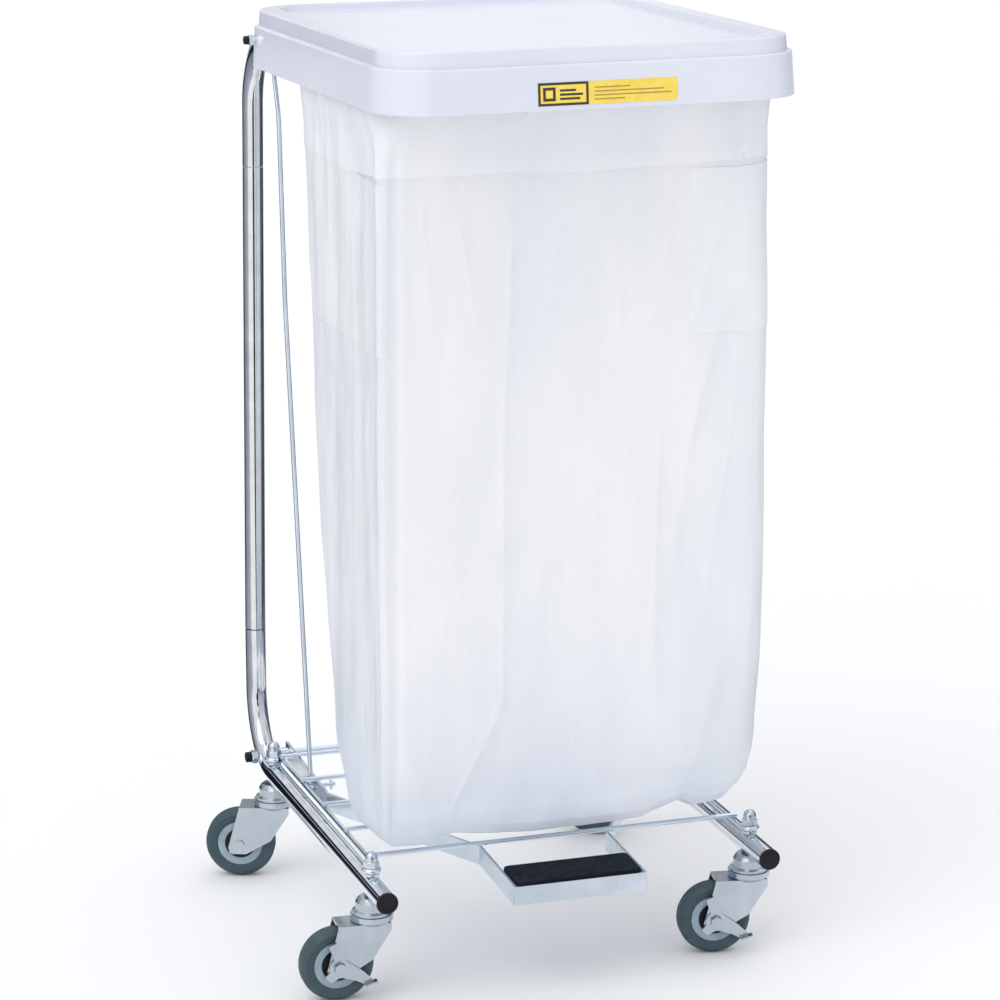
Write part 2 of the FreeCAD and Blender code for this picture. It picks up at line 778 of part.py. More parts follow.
def wheel_covers(name, spot):
    """Dark thread guards pressed into both sides of the hub."""
    inner = size("axle_od").value / 2 + 4.3
    outer = size("hub_od").value / 2 - 7.7
    seat = size("wheel_width").value / 2 - 5.5
    guards = []
    for side in (-1, 1):
        low = seat if side > 0 else -seat - 2.5
        ring = Part.makeCylinder(outer, 2.5, Vector(0, 0, low))
        guards.append(ring.cut(Part.makeCylinder(inner, 2.5, Vector(0, 0, low))))
    pieces.append(feature_from("wheel_guards_%s" % name, Part.makeCompound(guards), wheel_spot(spot)))


def brake_lever(name, spot):
    """Stamped lever on the axle, outside the yoke: hub ring, ear over the tyre and foot tab."""
    thickness = 2.0
    ring = Part.makeCylinder(10.5, thickness, Vector(0, 0, 0))
    ear = brake_arm([(-6, 9), (-11, 24), (-3, 27), (7, 9)], thickness)
    lobe = brake_arm([(-10, -3), (-15, -9), (-9, -15), (0, -10)], thickness)
    tab = brake_arm([(6, 8), (24, -5), (35, -16), (31, -22), (17, -15), (2, -10)], thickness)
    foot = Part.makeBox(13.0, 2.0, 8.0)
    foot.Placement = Placement(Vector(26.0, -20.8, 0), Rotation(Vector(0, 0, 1), 18))
    plate = ring.fuse([ear, lobe, tab, foot])
    plate = plate.cut(Part.makeCylinder(size("axle_od").value / 2 + 0.05, 20, Vector(0, 0, -5)))
    face = Placement(Vector(-TRAIL, -LEG_OUTER - 0.4, WHEEL_R), Rotation(Vector(1, 0, 0), 90))
    pieces.append(feature_from("brake_lever_%s" % name, plate.removeSplitter(), spot.multiply(face)))


def brake_arm(corners, thickness):
    points = [Vector(x, y, 0) for x, y in corners]
    face = Part.Face(Part.makePolygon(points + points[:1]))
    return face.extrude(Vector(0, 0, thickness))


def casters():
    for name, side, y, turn, brake in CASTERS:
        spot = caster_spot(side, y, turn)
        caster_stem(name, spot)
        yoke(name, spot)
        axle(name, spot, brake)
        tyre(name, spot)
        hub(name, spot)
        wheel_covers(name, spot)
        if brake:
            brake_lever(name, spot)
    acorn_nuts()


# ---------------------------------------------------------------- pedal

LEVER_SPOT = Placement(
    Vector(0, PIVOT_Y, PIVOT_Z), Rotation(Vector(1, 0, 0), size("lever_slope").value)
)


def offset_path(points, distance):
    """Points of an open path moved sideways, corners mitred."""
    moved = []
    for index, point in enumerate(points):
        before = points[max(index - 1, 0)]
        after = points[min(index + 1, len(points) - 1)]
        normals = []
        for start, end in ((before, point), (point, after)):
            run = end - start
            if run.Length > 1e-6:
                run.normalize()
                normals.append(Vector(-run.y, run.x, 0))
        mitre = normals[0] + normals[-1]
        mitre = mitre * (1.0 / mitre.Length)
        moved.append(point + mitre * (distance / mitre.dot(normals[0])))
    return moved


def pedal_lever():
    """One flat bar on edge: rear arms on the pivot rod, drawn in to a narrow front."""
    body = new_body("pedal_lever", LEVER_SPOT)
    rear = size("lever_rear_half").value
    front = size("lever_front_half").value - size("lever_plate").value / 2
    half_run = [
        Vector(rear, size("lever_tail").value, 0),
        Vector(rear, -size("lever_bend_rear").value, 0),
        Vector(front, -size("lever_bend_front").value, 0),
        Vector(front, -size("lever_length").value, 0),
    ]
    centre = [Vector(-p.x, p.y, 0) for p in half_run] + half_run[::-1]
    reach = size("lever_plate").value / 2
    outline = offset_path(centre, reach) + offset_path(centre, -reach)[::-1]
    sketch = new_sketch(body, "XY_Plane")
    add_outline(sketch, [(p.x, p.y) for p in outline])
    strip = pad(body, sketch, size("lever_height"), symmetric=True)
    fillet(body, strip, is_front_corner, 2.0)
    doc.recompute()
    holes = new_sketch(body, "YZ_Plane")
    add_circle(holes, 0, 0, size("pivot_rod_od") / 2 + 0.06)
    pocket_through(body, holes)
    slot = new_sketch(body, "YZ_Plane")
    clear = size("rod_od") / 2 + 1.1
    add_outline(slot, [
        (-size("rod_foot") - size("rod_od") / 2 - 5.2, -clear),
        (-size("rod_foot") + size("rod_od") / 2 + 0.8, -clear),
        (-size("rod_foot") + size("rod_od") / 2 + 0.8, clear),
        (-size("rod_foot") - size("rod_od") / 2 - 5.2, clear),
    ])
    cut = body.newObject("PartDesign::Pocket", "rod_slot")
    cut.Profile = slot
    bind(cut, "Length", size("lever_rear_half") + 10.0)
    pieces.append(body)


def is_front_corner(edge):
    if not is_line_along(Vector(0, 0, 1))(edge):
        return False
    box = edge.BoundBox
    return box.YMin < -size("lever_length").value + 3.0 and abs(box.XMin) > 60.0


def pedal_plate_and_pad():
    """A sheet tray welded between the front arms carries the rubber tread pad."""
    front = size("lever_length").value - size("lever_plate").value / 2 - 0.05
    half = size("lever_front_half").value - size("lever_plate").value - 0.05
    depth = size("pad_depth").value
    top = size("lever_height").value / 2 - 2.2
    plate = Part.makeBox(2 * half, depth, 2.0, Vector(-half, -front, top - 2.0))
    lip = Part.makeBox(2 * half, 2.0, 10.0, Vector(-half, -front + depth - 2.0, top - 12.0))
    upright = is_line_along(Vector(0, 0, 1))
    plate = plate.makeFillet(2.5, [e for e in plate.Edges if upright(e) and e.BoundBox.YMin < 1.0 - front])
    pieces.append(feature_from("pedal_plate", plate.fuse(lip).removeSplitter(), LEVER_SPOT))
    pad_half = half - 0.6
    pad_corner = Vector(-pad_half, -front + 0.6, top + 0.02)
    block = Part.makeBox(2 * pad_half, depth, size("pad_height").value, pad_corner)
    block = block.makeFillet(6.0, [e for e in block.Edges if upright(e)])
    crest = block.BoundBox.ZMax
    block = block.makeFillet(1.5, [e for e in block.Edges if abs(e.BoundBox.ZMin - crest) < 0.01])
    pieces.append(feature_from("pedal_pad", block, LEVER_SPOT))


# ---------------------------------------------------------------- lift rod

CRANK_Y = HINGE_Y + size("crank_back").value
CRANK_Z = HINGE_Z + size("crank_up").value
SLOPE = math.radians(size("lever_slope").value)
FOOT_Y = PIVOT_Y - size("rod_foot").value * math.cos(SLOPE)
FOOT_Z = PIVOT_Z - size("rod_foot").value * math.sin(SLOPE)


def rounded_wire(points, radii):
    """Straight runs through the points, with a tangent arc at each inner corner."""
    edges = []
    start = points[0]
    for before, corner, after, radius in zip(points, points[1:], points[2:], radii):
        towards = (before - corner).normalize()
        onward = (after - corner).normalize()
        half = towards.getAngle(onward) / 2
        leg = radius / math.tan(half)
        entry = corner + towards * leg
        exit_point = corner + onward * leg
        bisector = (towards + onward).normalize()
        middle = corner + bisector * (radius / math.sin(half) - radius)
        edges.append(Part.makeLine(start, entry))
        edges.append(Part.Arc(entry, middle, exit_point).toShape())
        start = exit_point
    edges.append(Part.makeLine(start, points[-1]))
    return Part.Wire(edges)


def lift_rod():
    """Steel rod, hooked through the lever at the foot and through the lid's crank at the top."""
    x = -size("rod_side").value
    foot_in = -size("lever_rear_half").value + 22.0
    top_in = -size("lever_rear_half").value + 12.0
    hook = 0.7 * size("rod_od").value
    # each point with the radius of the bend at it
    course = [
        (Vector(foot_in, FOOT_Y, FOOT_Z), 0.0),
        (Vector(x, FOOT_Y, FOOT_Z), hook),
        (Vector(x, 185.0, 640.0), 400.0),
        (Vector(x, 200.0, 838.0), 90.0),
        (Vector(x, CRANK_Y + 7.0, 886.0), 40.0),
        (Vector(x, CRANK_Y, CRANK_Z), hook),
        (Vector(top_in, CRANK_Y, CRANK_Z), 0.0),
    ]
    points = [point for point, radius in course]
    path = rounded_wire(points, [radius for point, radius in course[1:-1]])
    ring = Part.Wire(Part.makeCircle(size("rod_od").value / 2, points[0], points[1] - points[0]))
    rod = path.makePipeShell([ring], True, False)
    pieces.append(feature_from("lift_rod", rod))
    clips = []
    for tag, tip, y, z in (("foot", foot_in, FOOT_Y, FOOT_Z), ("top", top_in, CRANK_Y, CRANK_Z)):
        washer = Part.makeCylinder(6.0, 1.2, Vector(tip - 5.0, y, z), Vector(1, 0, 0))
        bore = Part.makeCylinder(size("rod_od").value / 2, 2.0, Vector(tip - 5.5, y, z), Vector(1, 0, 0))
        washer = washer.cut(bore)
        clips.append(feature_from("rod_clip_%s" % tag, washer))
    pieces.append(gather("rod_clips", clips))


# ---------------------------------------------------------------- lid

RELIEF_TOP = 945.0
LID_SPOT = Placement(
    Vector(0, 0, 0), Rotation(Vector(1, 0, 0), -ARM_RISE), Vector(0, HINGE_Y, HINGE_Z)
)


def rounded_rectangle(inset, z):
    """The lid's outline at a height, drawn in from its widest size."""
    half = size("lid_half_width").value - inset
    front = -size("lid_front").value + inset
    back = size("lid_back").value - inset
    radius = size("lid_corner").value - inset
    corners = [(half, back, 0), (-half, back, 90), (-half, front, 180), (half, front, 270)]
    edges = []
    points = []
    for x, y, turn in corners:
        sx = 1 if x > 0 else -1
        sy = 1 if y == back else -1
        centre = Vector(x - sx * radius, y - sy * radius, z)
        arc = Part.makeCircle(radius, centre, Vector(0, 0, 1), turn, turn + 90)
        points.append((arc.Vertexes[0].Point, arc.Vertexes[-1].Point))
        edges.append(arc)
    joined = []
    for index in range(4):
        joined.append(edges[index])
        start = points[index][1]
        end = points[(index + 1) % 4][0]
        joined.append(Part.makeLine(start, end))
    return Part.Wire(Part.__sortEdges__(joined))


def loft(levels):
    """A solid through the lid's outline at several insets and heights."""
    wires = [rounded_rectangle(inset, z) for inset, z in levels]
    return Part.makeLoft(wires, True, True)


def tube_relief(side):
    """Room for the frame's bend and the lift rod at the lid's rear corner, at any lid angle."""
    inner = size("rod_side").value - 6.0
    outer = ARM_HALF + size("tube_od").value / 2 + 2.4
    front = HINGE_Y + 12.0
    low = size("skirt_bottom").value - 2.0
    notch = Part.makeBox(outer - inner, 60.0, RELIEF_TOP - low, Vector(inner, front, low))
    if side < 0:
        notch = notch.mirror(Vector(0, 0, 0), Vector(1, 0, 0))
    return notch


def opened_bend(side):
    """The frame's top bend as the lid meets it when fully open, with a little room about it."""
    centre = Vector(side * ARM_HALF, BEND_Y, size("top_bend_height").value)
    bend = Part.makeTorus(BEND, size("tube_od").value / 2 + 0.7, centre, Vector(1, 0, 0))
    turn_back = Placement(
        Vector(0, 0, 0), Rotation(Vector(1, 0, 0), size("lid_opening").value), Vector(0, HINGE_Y, HINGE_Z)
    )
    bend.transformShape(LID_SPOT.inverse().multiply(turn_back).toMatrix())
    return bend


def lid_shell():
    """Moulded lid: flared skirt, ledge, raised rim and a sunken top panel."""
    wall = size("lid_wall").value
    flare = size("skirt_flare").value
    ledge = size("ledge_width").value
    bottom = size("skirt_bottom").value
    shelf = size("ledge_height").value
    top = size("lid_top").value
    rim = size("rim_width").value
    sunk = size("panel_depth").value
    outside = loft([(0, bottom), (flare, shelf)])
    outside = outside.fuse(loft([(flare + ledge, shelf - 0.01), (flare + ledge + 1.5, top)]))
    outside = outside.removeSplitter()
    level_edges = [e for e in outside.Edges if e.BoundBox.ZLength < 0.01]
    outer_edges = [e for e in level_edges if abs(e.BoundBox.ZMin - top) < 0.01]
    shelf_inset = flare + 0.01
    outside = outside.makeFillet(2.5, outer_edges)
    level_edges = [e for e in outside.Edges if e.BoundBox.ZLength < 0.01]
    shelf_edges = [
        e for e in level_edges if abs(e.BoundBox.ZMin - shelf) < 0.05 and on_outline(e, shelf_inset)
    ]
    outside = outside.makeFillet(2.5, shelf_edges)
    inside = loft([(wall, bottom - 1.0), (flare + wall, shelf - wall)])
    upper_inset = flare + ledge + wall
    inside = inside.fuse(loft([(upper_inset, shelf - wall - 0.01), (upper_inset + 1.5, top - wall)]))
    shell = outside.cut(inside)
    step = flare + ledge + rim
    panel = loft([(step, top + 1.0), (step + 3.0, top - sunk)])
    backing = loft([(step - wall, top - 0.5), (step + 3.0 - wall, top - sunk - wall)])
    shell = shell.fuse(backing).cut(panel)
    for name, side in SIDES:
        shell = shell.cut([tube_relief(side), opened_bend(side)])
    shell = shell.fuse(bumper_posts()).removeSplitter()
    hole_radius = size("hinge_rod_od").value / 2 + 0.06
    hole = Part.makeCylinder(hole_radius, 500.0, Vector(-250, HINGE_Y, HINGE_Z), Vector(1, 0, 0))
    pieces.append(feature_from("lid_shell", shell.cut(hole), LID_SPOT))


def on_outline(edge, inset):
    box = edge.BoundBox
    half = size("lid_half_width").value - inset
    reach = max(abs(box.XMin), abs(box.XMax))
    front = -size("lid_front").value + inset
    back = size("lid_back").value - inset
    return abs(reach - half) < 0.6 or abs(box.YMin - front) < 0.6 or abs(box.YMax - back) < 0.6


BUMPER_X = 120.0
BUMPER_LENGTH = 3.6


def bumper_posts():
    """Two bosses under the front of the panel that hold the rubber bumpers."""
    under = size("lid_top").value - size("panel_depth").value - size("lid_wall").value
    y = -size("bow_front").value
    posts = []
    for name, side in SIDES:
        posts.append(Part.makeCylinder(6.0, 1.6, Vector(side * BUMPER_X, y, under - 1.5)))
    return posts


def bumpers():
    under = size("lid_top").value - size("panel_depth").value - size("lid_wall").value - 1.5
    y = -size("bow_front").value
    feet = []
    for name, side in SIDES:
        low = under - BUMPER_LENGTH
        foot = Part.makeCylinder(5.0, BUMPER_LENGTH, Vector(side * BUMPER_X, y, low))
        foot = foot.makeFillet(1.0, [e for e in foot.Edges if abs(e.BoundBox.ZMax - low) < 0.01])
        feet.append(feature_from("bumper_%s" % name, foot, LID_SPOT))
    pieces.append(gather("lid_bumpers", feet))


def hinge_brackets():
    """Angle brackets under the lid; the left one carries the crank hole for the lift rod."""
    under = size("lid_top").value - size("panel_depth").value - size("lid_wall").value
    rod_hole = size("hinge_rod_od").value / 2 + 0.06
    crank_hole = size("rod_od").value / 2 + 0.06
    screws = []
    for name, side in SIDES:
        x = side * (size("lever_rear_half").value - 0.5)
        front = HINGE_Y - 16.0
        back = HINGE_Y + 12.0
        cheek = Part.makeBox(2.0, back - front, under - HINGE_Z + 9.0, Vector(x - 1.0, front, HINGE_Z - 9.0))
        if side < 0:
            arm = Part.makeBox(2.0, 31.0, 18.0, Vector(x - 1.0, HINGE_Y + 10.0, under - 18.0))
            cheek = cheek.fuse(arm)
        inward = 16.0
        flange_x = x - 1.0 if side < 0 else x + 1.0 - inward
        flange = Part.makeBox(inward, 34.0, 2.0, Vector(flange_x, front - 20.0, under - 2.0))
        link = Part.makeBox(2.0, 34.0, 12.0, Vector(x - 1.0, front - 20.0, under - 12.0))
        bracket = cheek.fuse([flange, link]).removeSplitter()
        hinge_line = Vector(x - 10, HINGE_Y, HINGE_Z)
        bracket = bracket.cut(Part.makeCylinder(rod_hole, 20.0, hinge_line, Vector(1, 0, 0)))
        if side < 0:
            crank = lid_frame_point(Vector(x - 10, CRANK_Y, CRANK_Z))
            bracket = bracket.cut(Part.makeCylinder(crank_hole, 20.0, crank, Vector(1, 0, 0)))
        middle = flange_x + inward / 2 - side * 1.0
        for y in (front - 12.0, front + 6.0):
            screw = Part.makeCylinder(3.2, 2.0, Vector(middle, y, under - 4.0))
            screws.append(feature_from("bracket_screw", screw, LID_SPOT))
        pieces.append(feature_from("hinge_bracket_%s" % name, bracket.removeSplitter(), LID_SPOT))
    pieces.append(gather("bracket_screws", screws))


def lid_frame_point(point):
    """A point of the trolley expressed in the lid's own level frame."""
    return LID_SPOT.inverse().multVec(point)


def label_plate():
    """Thin blank label on the front of the skirt."""
    flare = size("skirt_flare").value
    rise = size("ledge_height").value - size("skirt_bottom").value
    lean = math.degrees(math.atan2(flare, rise))
    plate = Part.makeBox(140.5, 0.4, 21.8, Vector(0, -0.4, 0))
    spot = Placement(
        Vector(-66.3, -size("lid_front").value + flare * 4.5 / rise - 0.03, size("skirt_bottom").value + 4.5),
        Rotation(Vector(1, 0, 0), -lean),
    )
    plate.Placement = spot
    pieces.append(feature_from("label_plate", Part.makeCompound([plate]), LID_SPOT))


# ---------------------------------------------------------------- bag

def bag_section(inset, half, front, back, radius, z, tilt=0.0):
    """Rounded outline of the bag at a height; tilt lifts its front edge."""
    half, front, back, radius = half - inset, front + inset, back - inset, max(radius - inset, 2.0)
    points = []
    for cx, cy, turn in (
        (half - radius, back - radius, 0),
        (-half + radius, back - radius, 90),
        (-half + radius, front + radius, 180),
        (half - radius, front + radius, 270),
    ):
        for step in (0, 45, 90):
            angle = math.radians(turn + step)
            points.append(Vector(cx + radius * math.cos(angle), cy + radius * math.sin(angle), z))
    edges = []
    for index in range(0, 12, 3):
        edges.append(Part.Arc(*points[index:index + 3]).toShape())
        edges.append(Part.makeLine(points[index + 2], points[(index + 3) % 12]))
    wire = Part.Wire(edges)
    if tilt:
        wire.rotate(Vector(0, HINGE_Y, z), Vector(1, 0, 0), -tilt)
    return wire


RING_HALF = ARM_HALF + size("tube_od").value / 2
RING_FRONT = -size("bow_front").value - size("tube_od").value / 2 - 1.2
RING_BACK = size("bag_bar_back").value + size("bag_bar_od").value / 2
CUFF_GAP = 0.4
NECK_TOP = 904.5
CUFF_BOTTOM = 836.0


def bag_levels():
    """Half width, front, back, corner radius, height and tilt of the bag, bottom to top."""
    inside = ARM_HALF - size("tube_od").value / 2 - CUFF_GAP
    inner_front = -size("bow_front").value + size("tube_od").value / 2 + 2.0
    inner_back = size("bag_bar_back").value - size("bag_bar_od").value / 2 - CUFF_GAP
    floor = size("bag_floor").value
    return [
        (165.0, -150.0, -62.0, 40.0, floor),
        (186.0, -185.0, -52.0, 44.0, floor + 14.0),
        (198.0, -215.0, -44.0, 45.0, floor + 36.0),
        (203.0, -233.0, -36.0, 45.0, floor + 85.0),
        (205.0, -240.0, -18.0, 40.0, floor + 190.0),
        (205.0, -241.0, 0.0, 33.0, floor + 300.0),
        (205.0, -241.0, 22.0, 31.0, floor + 440.0),
        (205.0, -241.0, 30.0, 32.0, floor + 540.0),
        (204.0, -240.0, 48.0, 40.0, floor + 640.0),
        (202.0, -238.0, 56.0, 44.0, floor + 694.0),
        (inside, inner_front, inner_back, 34.0, NECK_TOP - 1.0, ARM_RISE),
    ]


def bag():
    """Filled bag: body, neck inside the top ring, and the cuff folded over the ring's tubes."""
    wall = size("bag_wall").value
    levels = bag_levels()
    outer = Part.makeLoft([bag_section(0, *level) for level in levels], True, False)
    hollow = []
    for index, level in enumerate(levels):
        if index == 0:
            level = level[:4] + (level[4] + wall,)
        hollow.append(bag_section(wall, *level))
    inner = Part.makeLoft(hollow, True, False)
    body = outer.cut(inner)
    pieces.append(feature_from("bag", body))


def cuff_ring(outer, inner, low, top, rounding):
    """An upright band between two outlines (half width, front, back, radius), its top rounded."""
    faces = [Part.Face(bag_section(0, *outline, low)) for outline in (outer, inner)]
    blocks = [face.extrude(Vector(0, 0, top - low)) for face in faces]
    band = blocks[0].cut(blocks[1])
    return band.makeFillet(rounding, [e for e in band.Edges if abs(e.BoundBox.ZMin - top) < 0.01])


def bag_cuff():
    """The bag's mouth, folded over the ring: a short leg inside it and a long band outside it."""
    wall = size("cuff_wall").value
    tube = size("tube_od").value
    crest = HINGE_Z + tube / 2 + CUFF_GAP
    outer = (RING_HALF + CUFF_GAP, RING_FRONT, RING_BACK + CUFF_GAP, 50.0)
    inner = (
        ARM_HALF - tube / 2 - CUFF_GAP,
        -size("bow_front").value + tube / 2 + CUFF_GAP,
        size("bag_bar_back").value - size("bag_bar_od").value / 2 - CUFF_GAP,
        30.0,
    )
    half, front, back, radius = outer
    grown = (half + wall, front - wall, back + wall, radius + wall)
    hull = cuff_ring(grown, shrink(inner, wall), CUFF_BOTTOM, crest + wall, 6.3)
    hollow = cuff_ring(outer, inner, CUFF_BOTTOM - 1.0, crest, 5.5)
    cuff = hull.cut(hollow)
    below = Part.Face(bag_section(0, *inner, CUFF_BOTTOM - 1.0))
    cuff = cuff.cut(below.extrude(Vector(0, 0, NECK_TOP - CUFF_BOTTOM + 1.0)))
    cuff.rotate(Vector(0, HINGE_Y, HINGE_Z), Vector(1, 0, 0), -ARM_RISE)
    along = Vector(0, 1, -math.tan(math.radians(ARM_RISE)))
    for name, side in SIDES:
        start = Vector(side * ARM_HALF, 0, arm_height(0))
        cuff = cuff.cut(Part.makeCylinder(tube / 2 + CUFF_GAP, 200.0, start, along))
    bar_y = size("bag_bar_back").value
    bar_start = Vector(-ARM_HALF, bar_y, arm_height(bar_y))
    bar = Part.makeCylinder(size("bag_bar_od").value / 2 + CUFF_GAP, 2 * ARM_HALF, bar_start, Vector(1, 0, 0))
    cuff = cuff.cut(bar)
    pieces.append(feature_from("bag_cuff", cuff))


def shrink(outline, amount):
    """The inner outline drawn further inwards."""
    half, front, back, radius = outline
    return half - amount, front + amount, back - amount, radius - amount


# ---------------------------------------------------------------- build

def build():
    for name, side in SIDES:
        base_tube(name, side)
        mid_tube(name, side)
        top_tube(name, side)
    joint_sleeves()
    front_bow()
    bag_bar()
    end_caps()
    pivot_rod()
    hinge_rod()
    rack()
    casters()
    pedal_lever()
    pedal_plate_and_pad()
    lift_rod()
    lid_shell()
    bumpers()
    hinge_brackets()
    label_plate()
    bag()
    bag_cuff()
    doc.recompute()


def check():
    for thing in doc.Objects:
        state = " ".join(thing.State)
        if "Invalid" in state or "Error" in state:
            raise RuntimeError("%s is %s" % (thing.Label, state))
    for piece in pieces:
        if piece.Shape.isNull() or not piece.Shape.isValid():
            raise RuntimeError("%s has a bad shape" % piece.Label)
        if not piece.Shape.Solids:
            raise RuntimeError("%s has no solid" % piece.Label)


def export():
    os.makedirs("parts", exist_ok=True)
    for piece in pieces:
        piece.Shape.exportStep("parts/%s.step" % piece.Label)
        print("%-20s solids %d  volume %.1f" % (piece.Label, len(piece.Shape.Solids), piece.Shape.Volume))


build()
check()
export()
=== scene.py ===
import math

import bpy
import numpy as np
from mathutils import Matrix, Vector, noise


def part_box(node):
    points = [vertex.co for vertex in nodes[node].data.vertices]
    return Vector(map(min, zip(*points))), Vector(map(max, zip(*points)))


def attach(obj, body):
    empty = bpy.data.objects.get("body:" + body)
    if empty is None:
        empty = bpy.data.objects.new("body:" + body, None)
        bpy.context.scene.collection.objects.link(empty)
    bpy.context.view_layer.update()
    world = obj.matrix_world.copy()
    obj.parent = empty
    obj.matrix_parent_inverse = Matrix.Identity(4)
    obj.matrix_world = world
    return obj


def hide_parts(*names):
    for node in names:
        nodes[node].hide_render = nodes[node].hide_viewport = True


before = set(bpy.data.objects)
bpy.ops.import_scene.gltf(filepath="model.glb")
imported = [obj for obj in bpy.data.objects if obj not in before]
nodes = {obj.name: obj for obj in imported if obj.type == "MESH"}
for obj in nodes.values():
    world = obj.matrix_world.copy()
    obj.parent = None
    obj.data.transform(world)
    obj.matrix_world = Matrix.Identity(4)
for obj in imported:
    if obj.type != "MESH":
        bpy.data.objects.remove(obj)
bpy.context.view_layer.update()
scene = bpy.context.scene

MM = 0.001
WHITE = (1.0, 1.0, 1.0)


# ---------------------------------------------------------------- shader helpers

class Finish:
    """A Principled material whose colour, roughness and bump are laid over object space."""

    def __init__(self, name, color, roughness, metallic=0.0, **sockets):
        self.material = bpy.data.materials.new(name)
        self.material.use_nodes = True
        self.tree = self.material.node_tree
        self.shader = self.tree.nodes["Principled BSDF"]
        self.shader.inputs["Base Color"].default_value = (*color, 1.0)
        self.shader.inputs["Roughness"].default_value = roughness
        self.shader.inputs["Metallic"].default_value = metallic
        for socket, value in sockets.items():
            self.shader.inputs[socket.replace("_", " ")].default_value = value
        self.coords = self.tree.nodes.new("ShaderNodeTexCoord")
        self.height = None

    def link(self, source, target):
        self.tree.links.new(source, target)

    def place(self, stretch=(1.0, 1.0, 1.0)):
        mapping = self.tree.nodes.new("ShaderNodeMapping")
        mapping.inputs["Scale"].default_value = stretch
        self.link(self.coords.outputs["Object"], mapping.inputs["Vector"])
        return mapping.outputs["Vector"]

    def noise(self, scale, detail=3.0, rough=0.55, stretch=(1.0, 1.0, 1.0), distortion=0.0):
        texture = self.tree.nodes.new("ShaderNodeTexNoise")
        texture.inputs["Scale"].default_value = scale
        texture.inputs["Detail"].default_value = detail
        texture.inputs["Roughness"].default_value = rough
        texture.inputs["Distortion"].default_value = distortion
        self.link(self.place(stretch), texture.inputs["Vector"])
        return texture.outputs["Fac"]

    def spread(self, value, low, high, start=0.3, end=0.7):
        remap = self.tree.nodes.new("ShaderNodeMapRange")
        remap.inputs["From Min"].default_value = start
        remap.inputs["From Max"].default_value = end
        remap.inputs["To Min"].default_value = low
        remap.inputs["To Max"].default_value = high
        self.link(value, remap.inputs["Value"])
        return remap.outputs["Result"]

    def ramp(self, value, stops):
        ramp = self.tree.nodes.new("ShaderNodeValToRGB")
        elements = ramp.color_ramp.elements
        elements[0].position, elements[0].color = stops[0][0], (*stops[0][1], 1.0)
        elements[1].position, elements[1].color = stops[-1][0], (*stops[-1][1], 1.0)
        for position, color in stops[1:-1]:
            stop = elements.new(position)
            stop.color = (*color, 1.0)
        self.link(value, ramp.inputs["Fac"])
        return ramp.outputs["Color"]

    def mix(self, factor, first, second):
        mixer = self.tree.nodes.new("ShaderNodeMix")
        mixer.data_type = "RGBA"
        self.feed(factor, mixer.inputs[0])
        self.feed(first, mixer.inputs[6])
        self.feed(second, mixer.inputs[7])
        return mixer.outputs[2]

    def tint(self, first, second):
        mixer = self.tree.nodes.new("ShaderNodeMix")
        mixer.data_type = "RGBA"
        mixer.blend_type = "MULTIPLY"
        mixer.inputs[0].default_value = 1.0
        self.link(first, mixer.inputs[6])
        self.link(second, mixer.inputs[7])
        return mixer.outputs[2]

    def feed(self, value, socket):
        if isinstance(value, bpy.types.NodeSocket):
            self.link(value, socket)
        elif isinstance(value, tuple):
            socket.default_value = (*value, 1.0)
        else:
            socket.default_value = value

    def math(self, operation, first, second=0.0):
        node = self.tree.nodes.new("ShaderNodeMath")
        node.operation = operation
        self.feed(first, node.inputs[0])
        self.feed(second, node.inputs[1])
        return node.outputs[0]

    def color(self, output):
        self.link(output, self.shader.inputs["Base Color"])
        return self

    def rough(self, output):
        self.link(output, self.shader.inputs["Roughness"])
        return self

    def bump(self, value, distance, strength=0.5):
        node = self.tree.nodes.new("ShaderNodeBump")
        node.inputs["Strength"].default_value = strength
        node.inputs["Distance"].default_value = distance
        self.link(value, node.inputs["Height"])
        if self.height is not None:
            self.link(self.height, node.inputs["Normal"])
        self.height = node.outputs["Normal"]
        self.link(self.height, self.shader.inputs["Normal"])
        return self

    def axis(self, name):
        split = self.tree.nodes.new("ShaderNodeSeparateXYZ")
        self.link(self.coords.outputs["Object"], split.inputs["Vector"])
        return split.outputs[name]


# ---------------------------------------------------------------- finishes

def chrome():
    finish = Finish("chrome plate", (0.78, 0.80, 0.83), 0.05, 1.0)
    smudge = finish.noise(38.0, 4.0, 0.6)
    finish.color(finish.ramp(smudge, [(0.3, (0.70, 0.72, 0.76)), (0.7, (0.84, 0.86, 0.88))]))
    finish.rough(finish.spread(finish.noise(55.0, 5.0, 0.65), 0.035, 0.11))
    finish.bump(finish.noise(16.0, 1.0), 0.0004, 0.12)
    return finish.material


def zinc(name, along, tone=1.0):
    """Bright zinc plate with faint drawing marks along one direction."""
    finish = Finish(name, (0.66, 0.69, 0.73), 0.3, 1.0)
    cloud = finish.noise(22.0, 3.0, 0.5)
    dark = tuple(c * tone for c in (0.50, 0.56, 0.62))
    light = tuple(c * tone for c in (0.60, 0.66, 0.72))
    finish.color(finish.ramp(cloud, [(0.3, dark), (0.72, light)]))
    finish.rough(finish.spread(finish.noise(70.0, 3.0, 0.5, along), 0.17, 0.28))
    finish.bump(finish.noise(420.0, 2.0, 0.5, along), 0.0002, 0.12)
    finish.bump(finish.noise(24.0, 1.0), 0.0005, 0.1)
    return finish.material


def black_plastic():
    finish = Finish("black plastic", (0.012, 0.013, 0.016), 0.35, Specular_IOR_Level=0.25)
    cloud = finish.noise(60.0)
    finish.color(finish.ramp(cloud, [(0.3, (0.005, 0.006, 0.009)), (0.75, (0.014, 0.015, 0.02))]))
    finish.rough(finish.spread(finish.noise(120.0, 4.0), 0.28, 0.5))
    finish.bump(finish.noise(1600.0, 2.0), 0.0002, 0.25)
    return finish.material


